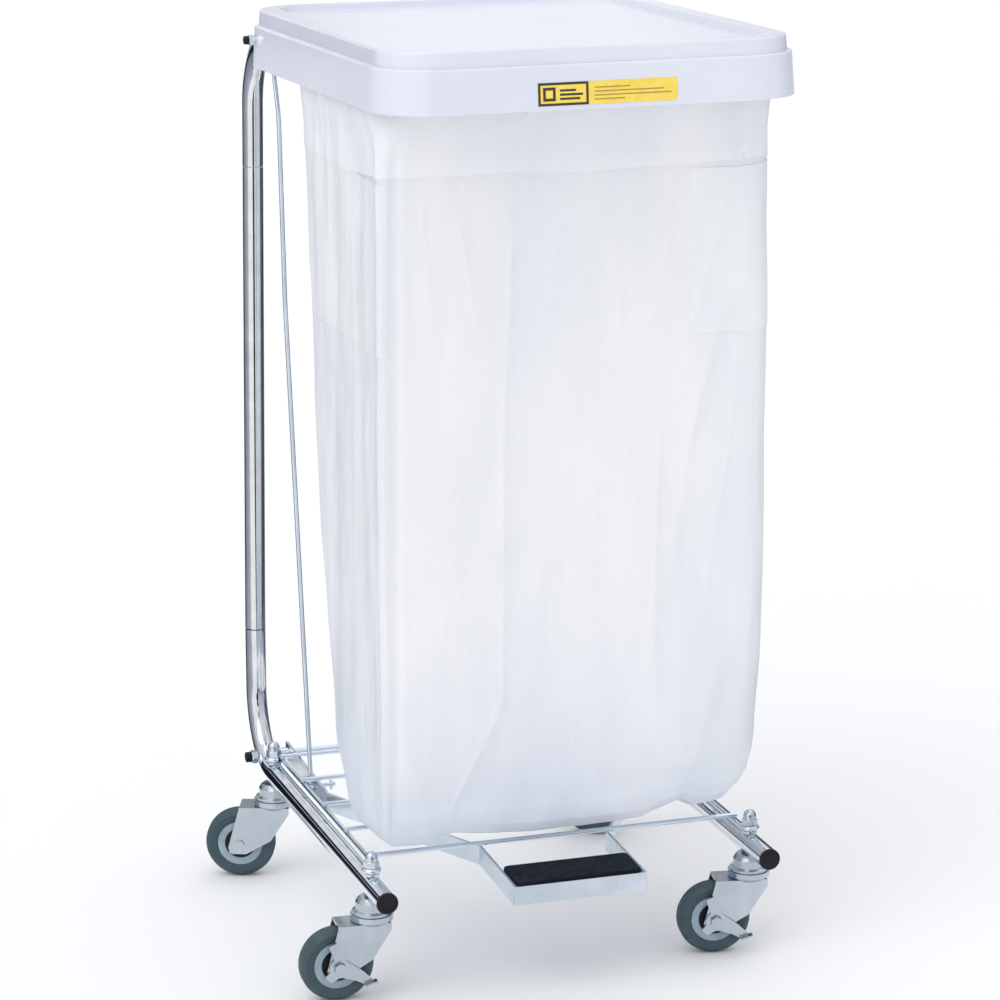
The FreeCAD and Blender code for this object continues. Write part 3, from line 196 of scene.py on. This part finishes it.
def tyre_rubber():
    finish = Finish("slate tyre rubber", (0.075, 0.105, 0.125), 0.55, Specular_IOR_Level=0.3)
    cloud = finish.noise(45.0, 5.0, 0.65)
    finish.color(finish.ramp(cloud, [(0.25, (0.040, 0.070, 0.085)), (0.75, (0.066, 0.105, 0.122))]))
    finish.rough(finish.spread(finish.noise(150.0, 4.0), 0.45, 0.72))
    finish.bump(finish.noise(900.0, 3.0, 0.6), 0.0003, 0.3)
    return finish.material


def wheel_core():
    finish = Finish("moulded wheel core", (0.20, 0.27, 0.31), 0.42)
    cloud = finish.noise(60.0, 4.0)
    finish.color(finish.ramp(cloud, [(0.3, (0.27, 0.355, 0.42)), (0.7, (0.35, 0.445, 0.52))]))
    finish.rough(finish.spread(finish.noise(110.0, 4.0), 0.34, 0.55))
    finish.bump(finish.noise(1100.0, 2.0), 0.0002, 0.2)
    return finish.material


def lid_plastic():
    finish = Finish(
        "moulded lid plastic", (0.80, 0.82, 0.91), 0.24, Coat_Weight=0.4, Coat_Roughness=0.09,
    )
    cloud = finish.noise(7.0, 4.0, 0.5)
    finish.color(finish.ramp(cloud, [(0.3, (0.73, 0.755, 0.865)), (0.7, (0.775, 0.80, 0.895))]))
    finish.rough(finish.spread(finish.noise(30.0, 4.0), 0.22, 0.28))
    finish.bump(finish.noise(700.0, 2.0, 0.5), 0.0001, 0.03)
    finish.bump(finish.noise(5.0, 1.0), 0.0012, 0.02)
    return finish.material


def pad_rubber():
    finish = Finish("tread rubber", (0.014, 0.017, 0.028), 0.5, Specular_IOR_Level=0.1)
    cloud = finish.noise(70.0, 4.0)
    finish.color(finish.ramp(cloud, [(0.3, (0.006, 0.008, 0.016)), (0.75, (0.014, 0.017, 0.028))]))
    finish.rough(finish.spread(finish.noise(140.0, 4.0), 0.4, 0.65))
    wave = finish.tree.nodes.new("ShaderNodeTexWave")
    wave.wave_type = "BANDS"
    wave.bands_direction = "X"
    wave.inputs["Scale"].default_value = 80.0
    finish.link(finish.place(), wave.inputs["Vector"])
    finish.bump(wave.outputs["Fac"], 0.0002, 0.15)
    finish.bump(finish.noise(1300.0, 2.0), 0.0002, 0.2)
    return finish.material


def bag_film(name, alpha, tint, side_shade):
    """Milky film: pale, a little see-through, finely wrinkled, with painted shade towards the bottom;
    the last argument is the painted shade of its left side.
    """
    finish = Finish(name, (0.86, 0.88, 0.92), 0.42, Alpha=alpha, Specular_IOR_Level=0.45)
    cloud = finish.noise(9.0, 5.0, 0.6, (1.0, 1.0, 0.35))
    low = tuple(c * t for c, t in zip((0.89, 0.90, 0.945), tint))
    high = tuple(c * t for c, t in zip((0.98, 0.98, 1.0), tint))
    pale = finish.ramp(cloud, [(0.3, low), (0.7, high)])
    drift = finish.noise(6.0, 3.0, 0.5, (1.0, 1.0, 0.5))
    level = finish.math("ADD", finish.axis("Z"), finish.spread(drift, -0.05, 0.05))
    # painted shade: the film darkens and turns bluer towards the bottom, with a little noise in the
    # height
    shade = finish.ramp(finish.spread(level, 0.0, 1.0, 0.12, 0.42), [
        (0.0, (0.74, 0.80, 0.89)),
        (0.25, (0.82, 0.865, 0.925)),
        (0.65, (0.95, 0.96, 0.975)),
        (1.0, WHITE),
    ])
    # painted shade on the sides: the left panel takes the given side tone, and the right end of the
    # front and the right side take half as much
    across = finish.spread(finish.axis("X"), 0.0, 1.0, -0.21, 0.21)
    right_shade = tuple((1.0 + tone) / 2 for tone in side_shade)
    painted_side_shade = finish.ramp(across, [
        (0.0, side_shade), (0.013, side_shade), (0.03, WHITE), (0.76, WHITE), (0.86, right_shade), (1.0, right_shade),
    ])
    finish.color(finish.tint(finish.tint(pale, shade), painted_side_shade))
    finish.rough(finish.spread(finish.noise(40.0, 4.0, 0.6, (1.0, 1.0, 0.3)), 0.32, 0.55))
    finish.bump(finish.noise(26.0, 4.0, 0.55, (1.0, 1.0, 0.16), 0.6), 0.005, 0.3)
    finish.bump(finish.noise(160.0, 3.0, 0.6, (1.0, 1.0, 0.25), 0.4), 0.001, 0.22)
    return finish.material


def floor_paint():
    finish = Finish("studio floor", (0.93, 0.93, 0.94), 0.8, Specular_IOR_Level=0.0)
    cloud = finish.noise(1.2, 3.0)
    finish.color(finish.ramp(cloud, [(0.3, (0.925, 0.93, 0.935)), (0.7, (0.94, 0.94, 0.945))]))
    finish.bump(finish.noise(300.0, 2.0), 0.0003, 0.05)
    return finish.material


def label_print():
    """A label without words: a framed block with a square and bars, and a block with thin rules."""
    low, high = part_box("label_plate")
    finish = Finish("printed label", (1.0, 0.72, 0.10), 0.35)
    across, upward = finish.axis("X"), finish.axis("Z")

    def block(left, right, bottom, top):
        """1 inside a rectangle given in parts of the label's width and height."""
        width, height = high.x - low.x, high.z - low.z
        inside = None
        for value, start, end in (
            (across, low.x + left * width, low.x + right * width),
            (upward, low.z + bottom * height, low.z + top * height),
        ):
            above = finish.math("GREATER_THAN", value, start)
            below = finish.math("LESS_THAN", value, end)
            both = finish.math("MULTIPLY", above, below)
            inside = both if inside is None else finish.math("MULTIPLY", inside, both)
        return inside

    yellow = finish.ramp(finish.noise(120.0), [(0.3, (0.93, 0.66, 0.07)), (0.7, (1.0, 0.76, 0.12))])
    ink = (0.05, 0.045, 0.03)
    color = finish.mix(block(0.0, 0.36, 0.0, 1.0), yellow, ink)
    color = finish.mix(block(0.018, 0.342, 0.11, 0.89), color, yellow)
    color = finish.mix(block(0.035, 0.125, 0.2, 0.8), color, ink)
    color = finish.mix(block(0.055, 0.105, 0.33, 0.67), color, yellow)
    for row, end in ((0.24, 0.30), (0.42, 0.32), (0.60, 0.27)):
        color = finish.mix(block(0.155, end, row, row + 0.10), color, ink)
    rule = (0.42, 0.30, 0.06)
    for row, end in ((0.18, 0.62), (0.35, 0.96), (0.52, 0.90), (0.69, 0.66)):
        color = finish.mix(block(0.40, end, row, row + 0.06), color, rule)
    finish.color(color)
    finish.rough(finish.spread(finish.noise(80.0), 0.28, 0.42))
    finish.bump(finish.noise(500.0), 0.0002, 0.1)
    return finish.material


def dress(material, *names):
    """Gives CAD nodes one finish."""
    for name in names:
        mesh = nodes[name].data
        if not mesh.materials:
            mesh.materials.append(material)
        for index in range(len(mesh.materials)):
            mesh.materials[index] = material


CASTERS = ("fl", "fr", "rl", "rr")


def each(prefix):
    return ["%s_%s" % (prefix, caster) for caster in CASTERS]


dress(
    chrome(),
    "base_tube_left", "base_tube_right", "mid_tube_left", "mid_tube_right",
    "top_tube_left", "top_tube_right", "front_bow",
)
dress(zinc("polished nut", (1.0, 1.0, 1.0), 1.15), "pivot_rod_nuts", "hinge_rod_nuts", "acorn_nuts")
dress(
    zinc("zinc wire", (1.0, 0.2, 1.0), 1.35),
    "rack_side_wires", "pivot_spacers", "bag_bar_screws", "bracket_screws", "rod_clips",
)
dress(
    zinc("zinc cross wire", (0.15, 1.0, 1.0), 1.4),
    "rack_cross_wires", "pivot_rod", "lid_hinge_rod", "rear_bag_bar", "joint_sleeves",
)
dress(zinc("zinc lift rod", (1.0, 1.0, 0.12), 1.4), "lift_rod")
dress(zinc("zinc race", (1.0, 1.0, 0.4), 0.88), *each("stem"))
dress(
    zinc("zinc flat bar", (1.0, 0.15, 1.0), 1.12),
    "pedal_lever", "pedal_plate", "hinge_bracket_left", "hinge_bracket_right",
)
dress(
    zinc("zinc pressing", (1.0, 1.0, 0.3), 0.93),
    *each("yoke"), *each("axle"), "brake_lever_fl", "brake_lever_fr",
)
dress(black_plastic(), "tube_end_caps", "pivot_rod_caps", "hinge_rod_caps", *each("wheel_guards"))
dress(tyre_rubber(), *each("tyre"))
dress(wheel_core(), *each("hub"))
dress(lid_plastic(), "lid_shell")
dress(pad_rubber(), "pedal_pad", "lid_bumpers")
dress(label_print(), "label_plate")
film = bag_film("bag film", 0.9, WHITE, (0.895, 0.92, 0.93))
liner_film = bag_film("bag film, doubled", 0.94, (0.98, 0.985, 0.985), (0.925, 0.945, 0.95))
cuff_film = bag_film("bag film, folded", 0.96, WHITE, (0.935, 0.95, 0.965))
dress(film, "bag")
dress(cuff_film, "bag_cuff")


# ---------------------------------------------------------------- bag

def smooth(a, b, x):
    t = np.clip((x - a) / (b - a), 0.0, 1.0)
    return t * t * (3.0 - 2.0 * t)


def bell(x, centre, width):
    return np.exp(-((x - centre) / width) ** 2)


def crest(x, centre, width):
    """A sharp ridge with soft flanks."""
    return np.exp(-np.abs(x - centre) / width)


# steps along each straight side of a section, and round each corner
STRAIGHT = {"front": 170, "side": 96, "back": 96}
CORNER = 22


def outline(half, front, back, radii):
    """Points and outward normals round a section, from the front's left end and over the right side."""
    left, right = -half, half
    fl, fr, br, bl = radii
    points, normals = [], []

    def straight(start, end, normal, count):
        for step in range(count):
            t = step / count
            points.append((start[0] + (end[0] - start[0]) * t, start[1] + (end[1] - start[1]) * t))
            normals.append(normal)

    def corner(cx, cy, radius, turn):
        for step in range(CORNER):
            angle = math.radians(turn + 90.0 * step / CORNER)
            normal = (math.cos(angle), math.sin(angle))
            points.append((cx + radius * normal[0], cy + radius * normal[1]))
            normals.append(normal)

    straight((left + fl, front), (right - fr, front), (0.0, -1.0), STRAIGHT["front"])
    corner(right - fr, front + fr, fr, -90.0)
    straight((right, front + fr), (right, back - br), (1.0, 0.0), STRAIGHT["side"])
    corner(right - br, back - br, br, 0.0)
    straight((right - br, back), (left + bl, back), (0.0, 1.0), STRAIGHT["back"])
    corner(left + bl, back - bl, bl, 90.0)
    straight((left, back - bl), (left, front + fl), (-1.0, 0.0), STRAIGHT["side"])
    corner(left + fl, front + fl, fl, 180.0)
    return np.array(points), np.array(normals)


# height, half width, front, back, and the radii of the corners, all in mm
BAG_LEVELS = np.array([
    (143.0, 172.0, -120.0, -62.0, 26.0, 28.0, 28.0, 28.0),
    (147.0, 182.0, -160.0, -58.0, 22.0, 44.0, 42.0, 42.0),
    (153.0, 190.0, -196.0, -53.0, 16.0, 47.0, 43.0, 43.0),
    (160.0, 196.0, -214.0, -49.0, 13.0, 49.0, 44.0, 44.0),
    (172.0, 199.5, -222.0, -45.0, 11.0, 48.0, 44.0, 44.0),
    (190.0, 201.5, -228.0, -42.0, 10.0, 46.0, 44.0, 44.0),
    (227.0, 203.5, -234.0, -36.0, 9.0, 45.0, 44.0, 44.0),
    (332.0, 205.0, -240.0, -18.0, 8.0, 40.0, 40.0, 40.0),
    (442.0, 205.0, -241.0, 0.0, 7.0, 36.0, 34.0, 34.0),
    (582.0, 205.0, -241.0, 22.0, 7.0, 34.0, 32.0, 32.0),
    (682.0, 205.0, -241.0, 32.0, 8.0, 34.0, 33.0, 33.0),
    (782.0, 204.5, -241.0, 48.0, 9.0, 38.0, 38.0, 38.0),
    (838.0, 204.5, -242.0, 56.0, 12.0, 42.0, 40.0, 40.0),
    (868.0, 204.5, -242.0, 58.0, 14.0, 44.0, 42.0, 42.0),
    (888.0, 190.0, -227.0, 54.0, 28.0, 38.0, 36.0, 36.0),
    (905.0, 186.5, -223.5, 52.0, 33.0, 34.0, 34.0, 34.0),
])


def noise_field(points, scale, seed):
    """Smooth noise between about -1 and 1 at points in metres, stretched by scale per axis."""
    shift = Vector((seed * 7.3, seed * 3.1, seed * 5.7))
    stretch = Vector(scale)
    return np.array([noise.noise(Vector(p) * stretch + shift) for p in points])


# place along the side, width and depth in mm of the hanging pleats
SIDE_FOLDS = (
    (-205.0, 12.0, 0.8), (-168.0, 16.0, -1.4), (-120.0, 18.0, 1.6),
    (-70.0, 16.0, -1.4), (-25.0, 14.0, 1.2),
)
# drawn wrinkles below the cuff and beside the right front corner: place at the top end, lean, height of
# the top end, width and depth, in mm
WRINKLES = (
    (-165.0, 0.10, 832.0, 3.0, 1.5), (-128.0, 0.16, 826.0, 4.0, 1.4), (-20.0, -0.12, 830.0, 3.5, 1.4),
    (28.0, 0.10, 820.0, 4.0, 1.5), (104.0, -0.22, 830.0, 3.5, 2.0), (138.0, -0.25, 828.0, 4.0, 2.2),
    (172.0, -0.10, 700.0, 4.0, 2.0), (158.0, -0.16, 560.0, 4.0, 1.8), (186.0, -0.05, 420.0, 4.0, 1.8),
)
# diagonal pulls across the front: place and height of the upper end and the lower end, and depth, in mm
PULLS = (
    (172.0, 880.0, 118.0, 690.0, 3.0), (150.0, 700.0, 112.0, 560.0, 2.6),
    (120.0, 590.0, 96.0, 430.0, 1.8), (-140.0, 840.0, -100.0, 700.0, 1.2),
    (60.0, 835.0, 96.0, 720.0, 1.2), (-188.0, 300.0, -150.0, 165.0, 1.4),
    (150.0, 330.0, 112.0, 170.0, 1.8), (30.0, 300.0, 10.0, 160.0, 1.0),
)


def fold_height(x, y, z, nx, ny):
    """Outward displacement in mm of the film at points in mm, from its folds and creases."""
    front, left, right = np.clip(-ny, 0, 1), np.clip(-nx, 0, 1), np.clip(nx, 0, 1)
    height = np.zeros_like(x)
    # the front: a long soft crease left of the middle, which bends away to the left near the bottom
    run = -80.0 + 8.0 * smooth(560.0, 760.0, z) - 52.0 * smooth(330.0, 180.0, z)
    height += front * 3.0 * crest(x, run, 5.0) * smooth(150.0, 230.0, z) * smooth(850.0, 760.0, z)
    height -= front * 1.6 * bell(x, run + 16.0, 13.0) * smooth(150.0, 260.0, z)
    run = 84.0 + 5.0 * np.sin(z / 90.0)
    height += front * 2.8 * crest(x, run, 4.5) * smooth(250.0, 320.0, z) * smooth(620.0, 520.0, z)
    height -= front * 1.4 * bell(x, run + 12.0, 9.0) * smooth(250.0, 320.0, z) * smooth(620.0, 520.0, z)
    # the pinched crease down the left front corner
    height -= front * 3.4 * bell(x, -190.0, 6.5) * smooth(150.0, 210.0, z)
    height += front * 1.6 * crest(x, -203.0, 3.0) * smooth(150.0, 210.0, z)
    height += left * 1.6 * crest(y, -233.0, 4.0) * smooth(150.0, 210.0, z)
    for place, lean, top, wide, depth in WRINKLES:
        line = place + lean * (top - z)
        shown = smooth(top, top - 30.0, z) * smooth(top - 190.0, top - 90.0, z)
        height += front * depth * crest(x, line, wide) * shown
    for x_top, z_top, x_low, z_low, depth in PULLS:
        t = np.clip((z_top - z) / (z_top - z_low), -0.2, 1.2)
        line = x_top + (x_low - x_top) * t
        fade = smooth(-0.2, 0.15, t) * smooth(1.2, 0.85, t)
        height += front * fade * (depth * crest(x, line, 8.0) - 0.7 * depth * bell(x, line + 16.0, 13.0))
    # the left and right sides: soft hanging pleats between the front crease and the back corner
    for cy, wide, depth in SIDE_FOLDS:
        drift = cy + 10.0 * np.sin(z / 130.0 + cy)
        height += (left + right) * depth * bell(y, drift, wide) * smooth(145.0, 260.0, z)
    height += left * 0.35 * np.sin(y / 7.0 + z / 160.0) * smooth(150.0, 300.0, z)
    # the bottom slumps on to the wires
    low = smooth(330.0, 160.0, z)
    height += low * 3.0 * np.sin(x / 34.0 + 0.8) * np.sin(z / 26.0 + x / 90.0)
    return height


def grid_mesh(name, rings, closed_bottom):
    """A tube of quads from equal closed rings of points in mm."""
    count = len(rings[0])
    points = np.concatenate(rings) * MM
    faces = []
    for level in range(len(rings) - 1):
        low, high = level * count, (level + 1) * count
        for step in range(count):
            nxt = (step + 1) % count
            faces.append((low + step, low + nxt, high + nxt, high + step))
    if closed_bottom:
        faces.append(tuple(reversed(range(count))))
    mesh = bpy.data.meshes.new(name)
    mesh.from_pydata([tuple(p) for p in points], [], faces)
    mesh.polygons.foreach_set("use_smooth", [True] * len(mesh.polygons))
    mesh.update()
    obj = bpy.data.objects.new(name, mesh)
    scene.collection.objects.link(obj)
    return obj


# the lid's hinge line in mm, and how far the ring and the lid rise towards the front
HINGE_Y, HINGE_Z, RISE = 177.0, 923.69, math.radians(2.0)


def tilt(points):
    """Turns points in mm about the lid's hinge line, front end up, as the ring is tilted."""
    y, z = points[:, 1] - HINGE_Y, points[:, 2] - HINGE_Z
    out = points.copy()
    out[:, 1] = HINGE_Y + y * math.cos(RISE) + z * math.sin(RISE)
    out[:, 2] = HINGE_Z - y * math.sin(RISE) + z * math.cos(RISE)
    return out


# how far the bag's bottom front edge is lifted off the wires, by place along the front, in mm
LIFT = np.array([
    (-205.0, 5.0), (-182.0, 1.0), (-154.0, 1.0), (-136.0, 10.0), (-118.0, 11.0),
    (-48.0, 4.0), (15.0, 3.0), (79.0, 6.0), (100.0, 14.0), (121.0, 21.0),
    (137.0, 12.0), (169.0, 15.0), (189.0, 26.0), (205.0, 30.0),
])


def body_ring(z, swell=0.0):
    """One ring of the bag at a height, folds and wrinkles included."""
    level = [np.interp(z, BAG_LEVELS[:, 0], BAG_LEVELS[:, column]) for column in range(1, 8)]
    half, front, back = level[:3]
    flat, normal = outline(half, front, back, level[3:])
    x, y = flat[:, 0], flat[:, 1]
    height = fold_height(x, y, np.full_like(x, z), normal[:, 0], normal[:, 1])
    spots = np.column_stack([x, y, np.full_like(x, z)]) * MM
    height += 2.2 * noise_field(spots, (11.0, 11.0, 3.0), 1)
    height += 1.5 * noise_field(spots, (34.0, 34.0, 8.0), 2)
    height += 0.5 * noise_field(spots, (95.0, 95.0, 16.0), 7)
    height += 3.0 * smooth(320.0, 170.0, z) * noise_field(spots, (22.0, 22.0, 26.0), 3)
    height *= smooth(905.0, 840.0, z) * 0.9 + 0.1
    height = np.minimum(height, 4.5) + swell
    ring = np.column_stack([x + normal[:, 0] * height, y + normal[:, 1] * height, np.full_like(x, z)])
    forward = smooth(-60.0, -150.0, y) * smooth(230.0, 150.0, z)
    ring[:, 2] += forward * np.interp(x, LIFT[:, 0], LIFT[:, 1])
    return ring


def bag_body():
    """The hanging film, from the middle of its bottom on the wires up into the ring."""
    rings = []
    foot, neck = BAG_LEVELS[0, 0], BAG_LEVELS[-1, 0]
    bottom = body_ring(foot)
    centre = bottom.mean(axis=0)
    for part in (0.06, 0.3, 0.55, 0.75, 0.9, 0.97):
        ring = centre + (bottom - centre) * part
        wire_sag = 1.6 * np.cos(ring[:, 0] / 13.0 * 0.97)
        ring[:, 2] = foot - 1.0 + 0.6 * wire_sag * (1.0 - part)
        rings.append(ring)
    # closer rings where the film bends most
    heights = np.concatenate([
        np.linspace(foot, 180.0, 26, endpoint=False),
        np.linspace(180.0, 330.0, 44, endpoint=False),
        np.linspace(330.0, 840.0, 118, endpoint=False),
        np.linspace(840.0, neck, 14),
    ])
    rings += [body_ring(z) for z in heights]
    return grid_mesh("bag_body", rings, True)


LINER_HEM, LINER_TOP = 671.0, 838.0


def bag_liner():
    """The second layer of film, from the ring down to a straight hem well below the cuff."""
    rings = []
    for part in np.linspace(0.0, 1.0, 46):
        z = LINER_HEM + (LINER_TOP - LINER_HEM) * part
        ring = body_ring(z, -1.2)
        outside = body_ring(z, 0.6)
        # its hem shows outside on the left panel and beside the right front corner
        shown = np.maximum(smooth(-198.0, -204.0, ring[:, 0]), smooth(95.0, 125.0, ring[:, 0]))
        ring += (outside - ring) * shown[:, None]
        lift = 2.5 * np.sin(ring[:, 0] / 75.0) + 1.2 * np.sin(ring[:, 1] / 28.0)
        ring[:, 2] += lift * (1.0 - part)
        rings.append(ring)
    return grid_mesh("bag_liner", rings, False)


# the cuff's half width, front, back and corner radii in mm, inside the ring and outside it
INNER = np.array([186.4, -224.5, 53.6, 30.0, 30.0, 30.0, 30.0])
OUTER = np.array([210.0, -249.6, 67.0, 50.5, 50.5, 50.5, 50.5])
CUFF_HEM = 828.5


def cuff_ring(shape, z, pleat):
    """One ring of the cuff at a height; pleat is how far its pleats show."""
    flat, normal = outline(shape[0], shape[1], shape[2], shape[3:])
    x, y = flat[:, 0], flat[:, 1]
    along = np.concatenate([[0.0], np.cumsum(np.hypot(np.diff(x), np.diff(y)))])
    spots = np.column_stack([along, np.zeros_like(x), np.full_like(x, z * 0.25)]) * MM
    ripple = 0.7 * noise_field(spots, (120.0, 1.0, 30.0), 4)
    ripple += 0.5 * noise_field(spots, (260.0, 1.0, 40.0), 5)
    sway = 1.3 * noise_field(spots, (16.0, 1.0, 12.0), 6)
    for centre, slope in ((95.0, 0.6), (205.0, -0.8), (305.0, 0.9), (372.0, -0.5)):
        ripple += 1.2 * crest(along, centre + slope * (z - 860.0), 5.0)
    height = pleat * np.clip(ripple + sway, -1.4, 2.4)
    ring = np.column_stack([x + normal[:, 0] * height, y + normal[:, 1] * height, np.full_like(x, z)])
    return ring, along


def bag_cuff():
    """The folded mouth: up inside the ring, over it, and down outside to the hem."""
    rings = []
    for z in np.linspace(904.0, 922.0, 5):
        rings.append(cuff_ring(INNER, z, 0.0)[0])
    for turn in np.linspace(0.0, math.pi, 13)[1:-1]:
        part = (1.0 - math.cos(turn)) / 2.0
        shape = INNER + (OUTER - INNER) * part
        rings.append(cuff_ring(shape, HINGE_Z + 12.4 * math.sin(turn), 0.0)[0])
    for t in np.linspace(0.0, 1.0, 44):
        z = HINGE_Z + (CUFF_HEM - HINGE_Z) * t
        ring, along = cuff_ring(OUTER, z, smooth(0.12, 0.4, t))
        # towards the hem it lies on the film of the body
        under = body_ring(min(z + 10.0, 866.0), 0.9)
        under[:, 1] += (HINGE_Z - z) * math.sin(RISE)
        ring[:, :2] += (under[:, :2] - ring[:, :2]) * smooth(0.1, 0.8, t)
        drop = 1.5 * np.sin(along / 41.0) + 0.8 * np.sin(along / 17.0 + 1.0)
        ring[:, 2] += drop * smooth(0.6, 1.0, t)
        rings.append(ring)
    return grid_mesh("bag_fold", [tilt(ring) for ring in rings], False)


bag = bag_body()
liner = bag_liner()
fold = bag_cuff()
for piece, material in ((bag, film), (liner, liner_film), (fold, cuff_film)):
    piece.data.materials.append(material)
    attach(piece, "frame")
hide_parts("bag")
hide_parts("bag_cuff")


# ---------------------------------------------------------------- studio

VIEW_AZIMUTH = math.radians(-18.39)
VIEW_ELEVATION = math.radians(14.52)
VIEW_DISTANCE = 4.07198
VIEW_TARGET = Vector((-0.0035, 0.0, 0.45387))


def direction(azimuth, elevation):
    return Vector((
        math.sin(azimuth) * math.cos(elevation),
        -math.cos(azimuth) * math.cos(elevation),
        math.sin(elevation),
    ))


def aim(obj, spot, target):
    obj.location = spot
    obj.rotation_mode = "QUATERNION"
    obj.rotation_quaternion = (Vector(target) - Vector(spot)).to_track_quat("-Z", "Y")


camera_data = bpy.data.cameras.new("camera")
camera_data.sensor_width = 36.0
camera_data.lens = 139.79
camera_data.clip_end = 200.0
camera = bpy.data.objects.new("camera", camera_data)
scene.collection.objects.link(camera)
aim(camera, VIEW_TARGET + direction(VIEW_AZIMUTH, VIEW_ELEVATION) * VIEW_DISTANCE, VIEW_TARGET)
scene.camera = camera

reach = 60.0
floor_mesh = bpy.data.meshes.new("floor")
floor_mesh.from_pydata(
    [(-reach, -reach, 0), (reach, -reach, 0), (reach, reach, 0), (-reach, reach, 0)], [], [(0, 1, 2, 3)],
)
floor_mesh.materials.append(floor_paint())
floor = bpy.data.objects.new("floor", floor_mesh)
floor.location.z = -0.0005
scene.collection.objects.link(floor)


def sun(name, azimuth, elevation, spread, strength):
    """A soft far light; azimuth is counted from the camera's side, and is positive to its right."""
    data = bpy.data.lights.new(name, "SUN")
    data.angle = math.radians(spread)
    data.energy = strength
    light = bpy.data.objects.new(name, data)
    scene.collection.objects.link(light)
    side = direction(VIEW_AZIMUTH + math.radians(azimuth), math.radians(elevation))
    aim(light, side * 5.0, (0.0, 0.0, 0.0))


sun("key", -40.0, 48.0, 50.0, 0.75)
sun("top", 165.0, 72.0, 60.0, 0.38)


# the walls that bright metal reflects: brightness by azimuth in degrees from the camera's side
WALLS = (
    (-180.0, 0.85), (-175.0, 0.85), (-173.0, 0.01), (-163.0, 0.01), (-161.0, 0.30), (-157.0, 0.30),
    (-155.0, 0.01), (-128.0, 0.01), (-122.0, 0.22), (-64.0, 0.50), (-56.0, 1.0), (-8.0, 1.0),
    (-3.0, 0.015), (20.0, 0.015), (26.0, 0.52), (86.0, 0.56), (98.0, 0.14), (104.0, 0.05),
    (148.0, 0.05), (153.0, 0.35), (159.0, 0.35), (162.0, 0.01), (171.0, 0.01), (175.0, 0.85),
)


# how far the walls turn to plain white, by height in metres
HEIGHTS = (
    (0.50, 0.0), (0.54, 0.7), (0.60, 0.7), (0.64, 0.0),
    (1.04, 0.0), (1.08, 0.85), (1.6, 0.85), (1.8, 0.25),
)
WALL_TOP = 2.5


def wall_color(tone):
    """Dark walls lean to blue, bright ones are neutral."""
    cool = 1.0 - tone
    return (
        tone * (1.0 - 0.12 * cool),
        tone * (1.0 + 0.02 * cool),
        tone * (1.0 + 0.22 * cool) + 0.012 * cool,
    )


def walls():
    """Light and dark walls and floor strips that only reflections see; they give chrome its bands."""
    count = 96
    points, faces = [], []
    for level, (radius, z) in enumerate(((0.62, 0.002), (2.9, 0.002), (3.0, WALL_TOP))):
        for step in range(count):
            turn = 2 * math.pi * step / count
            points.append((radius * math.sin(turn), -radius * math.cos(turn), z))
            if level:
                nxt, below = (step + 1) % count, (level - 1) * count
                faces.append((below + step, below + nxt, below + count + nxt, below + count + step))
    mesh = bpy.data.meshes.new("walls")
    mesh.from_pydata(points, [], faces)
    finish = Finish("studio walls", (0.0, 0.0, 0.0), 1.0, Specular_IOR_Level=0.0, Emission_Strength=1.0)
    turn = finish.math("ARCTAN2", finish.axis("X"), finish.math("MULTIPLY", finish.axis("Y"), -1.0))
    stops = [(azimuth / 360.0 + 0.5, wall_color(tone)) for azimuth, tone in WALLS]
    around = finish.ramp(finish.spread(turn, 0.0, 1.0, -math.pi, math.pi), stops)
    height = finish.spread(finish.axis("Z"), 0.0, 1.0, 0.0, WALL_TOP)
    rise = finish.ramp(height, [(z / WALL_TOP, (part, part, part)) for z, part in HEIGHTS])
    tone = finish.mix(rise, around, (0.92, 0.94, 0.97))
    finish.link(tone, finish.shader.inputs["Emission Color"])
    mesh.materials.append(finish.material)
    ring = bpy.data.objects.new("walls", mesh)
    ring.rotation_euler.z = VIEW_AZIMUTH
    ring.visible_camera = False
    ring.visible_diffuse = False
    ring.visible_shadow = False
    ring.visible_transmission = False
    scene.collection.objects.link(ring)


walls()

world = bpy.data.worlds.new("studio")
scene.world = world
world.use_nodes = True
background = world.node_tree.nodes["Background"]
background.inputs["Color"].default_value = (0.97, 0.98, 1.0, 1.0)
background.inputs["Strength"].default_value = 0.82
scene.view_settings.view_transform = "Standard"
scene.view_settings.look = "None"
scene.view_settings.exposure = 0.0
scene.view_settings.gamma = 1.0
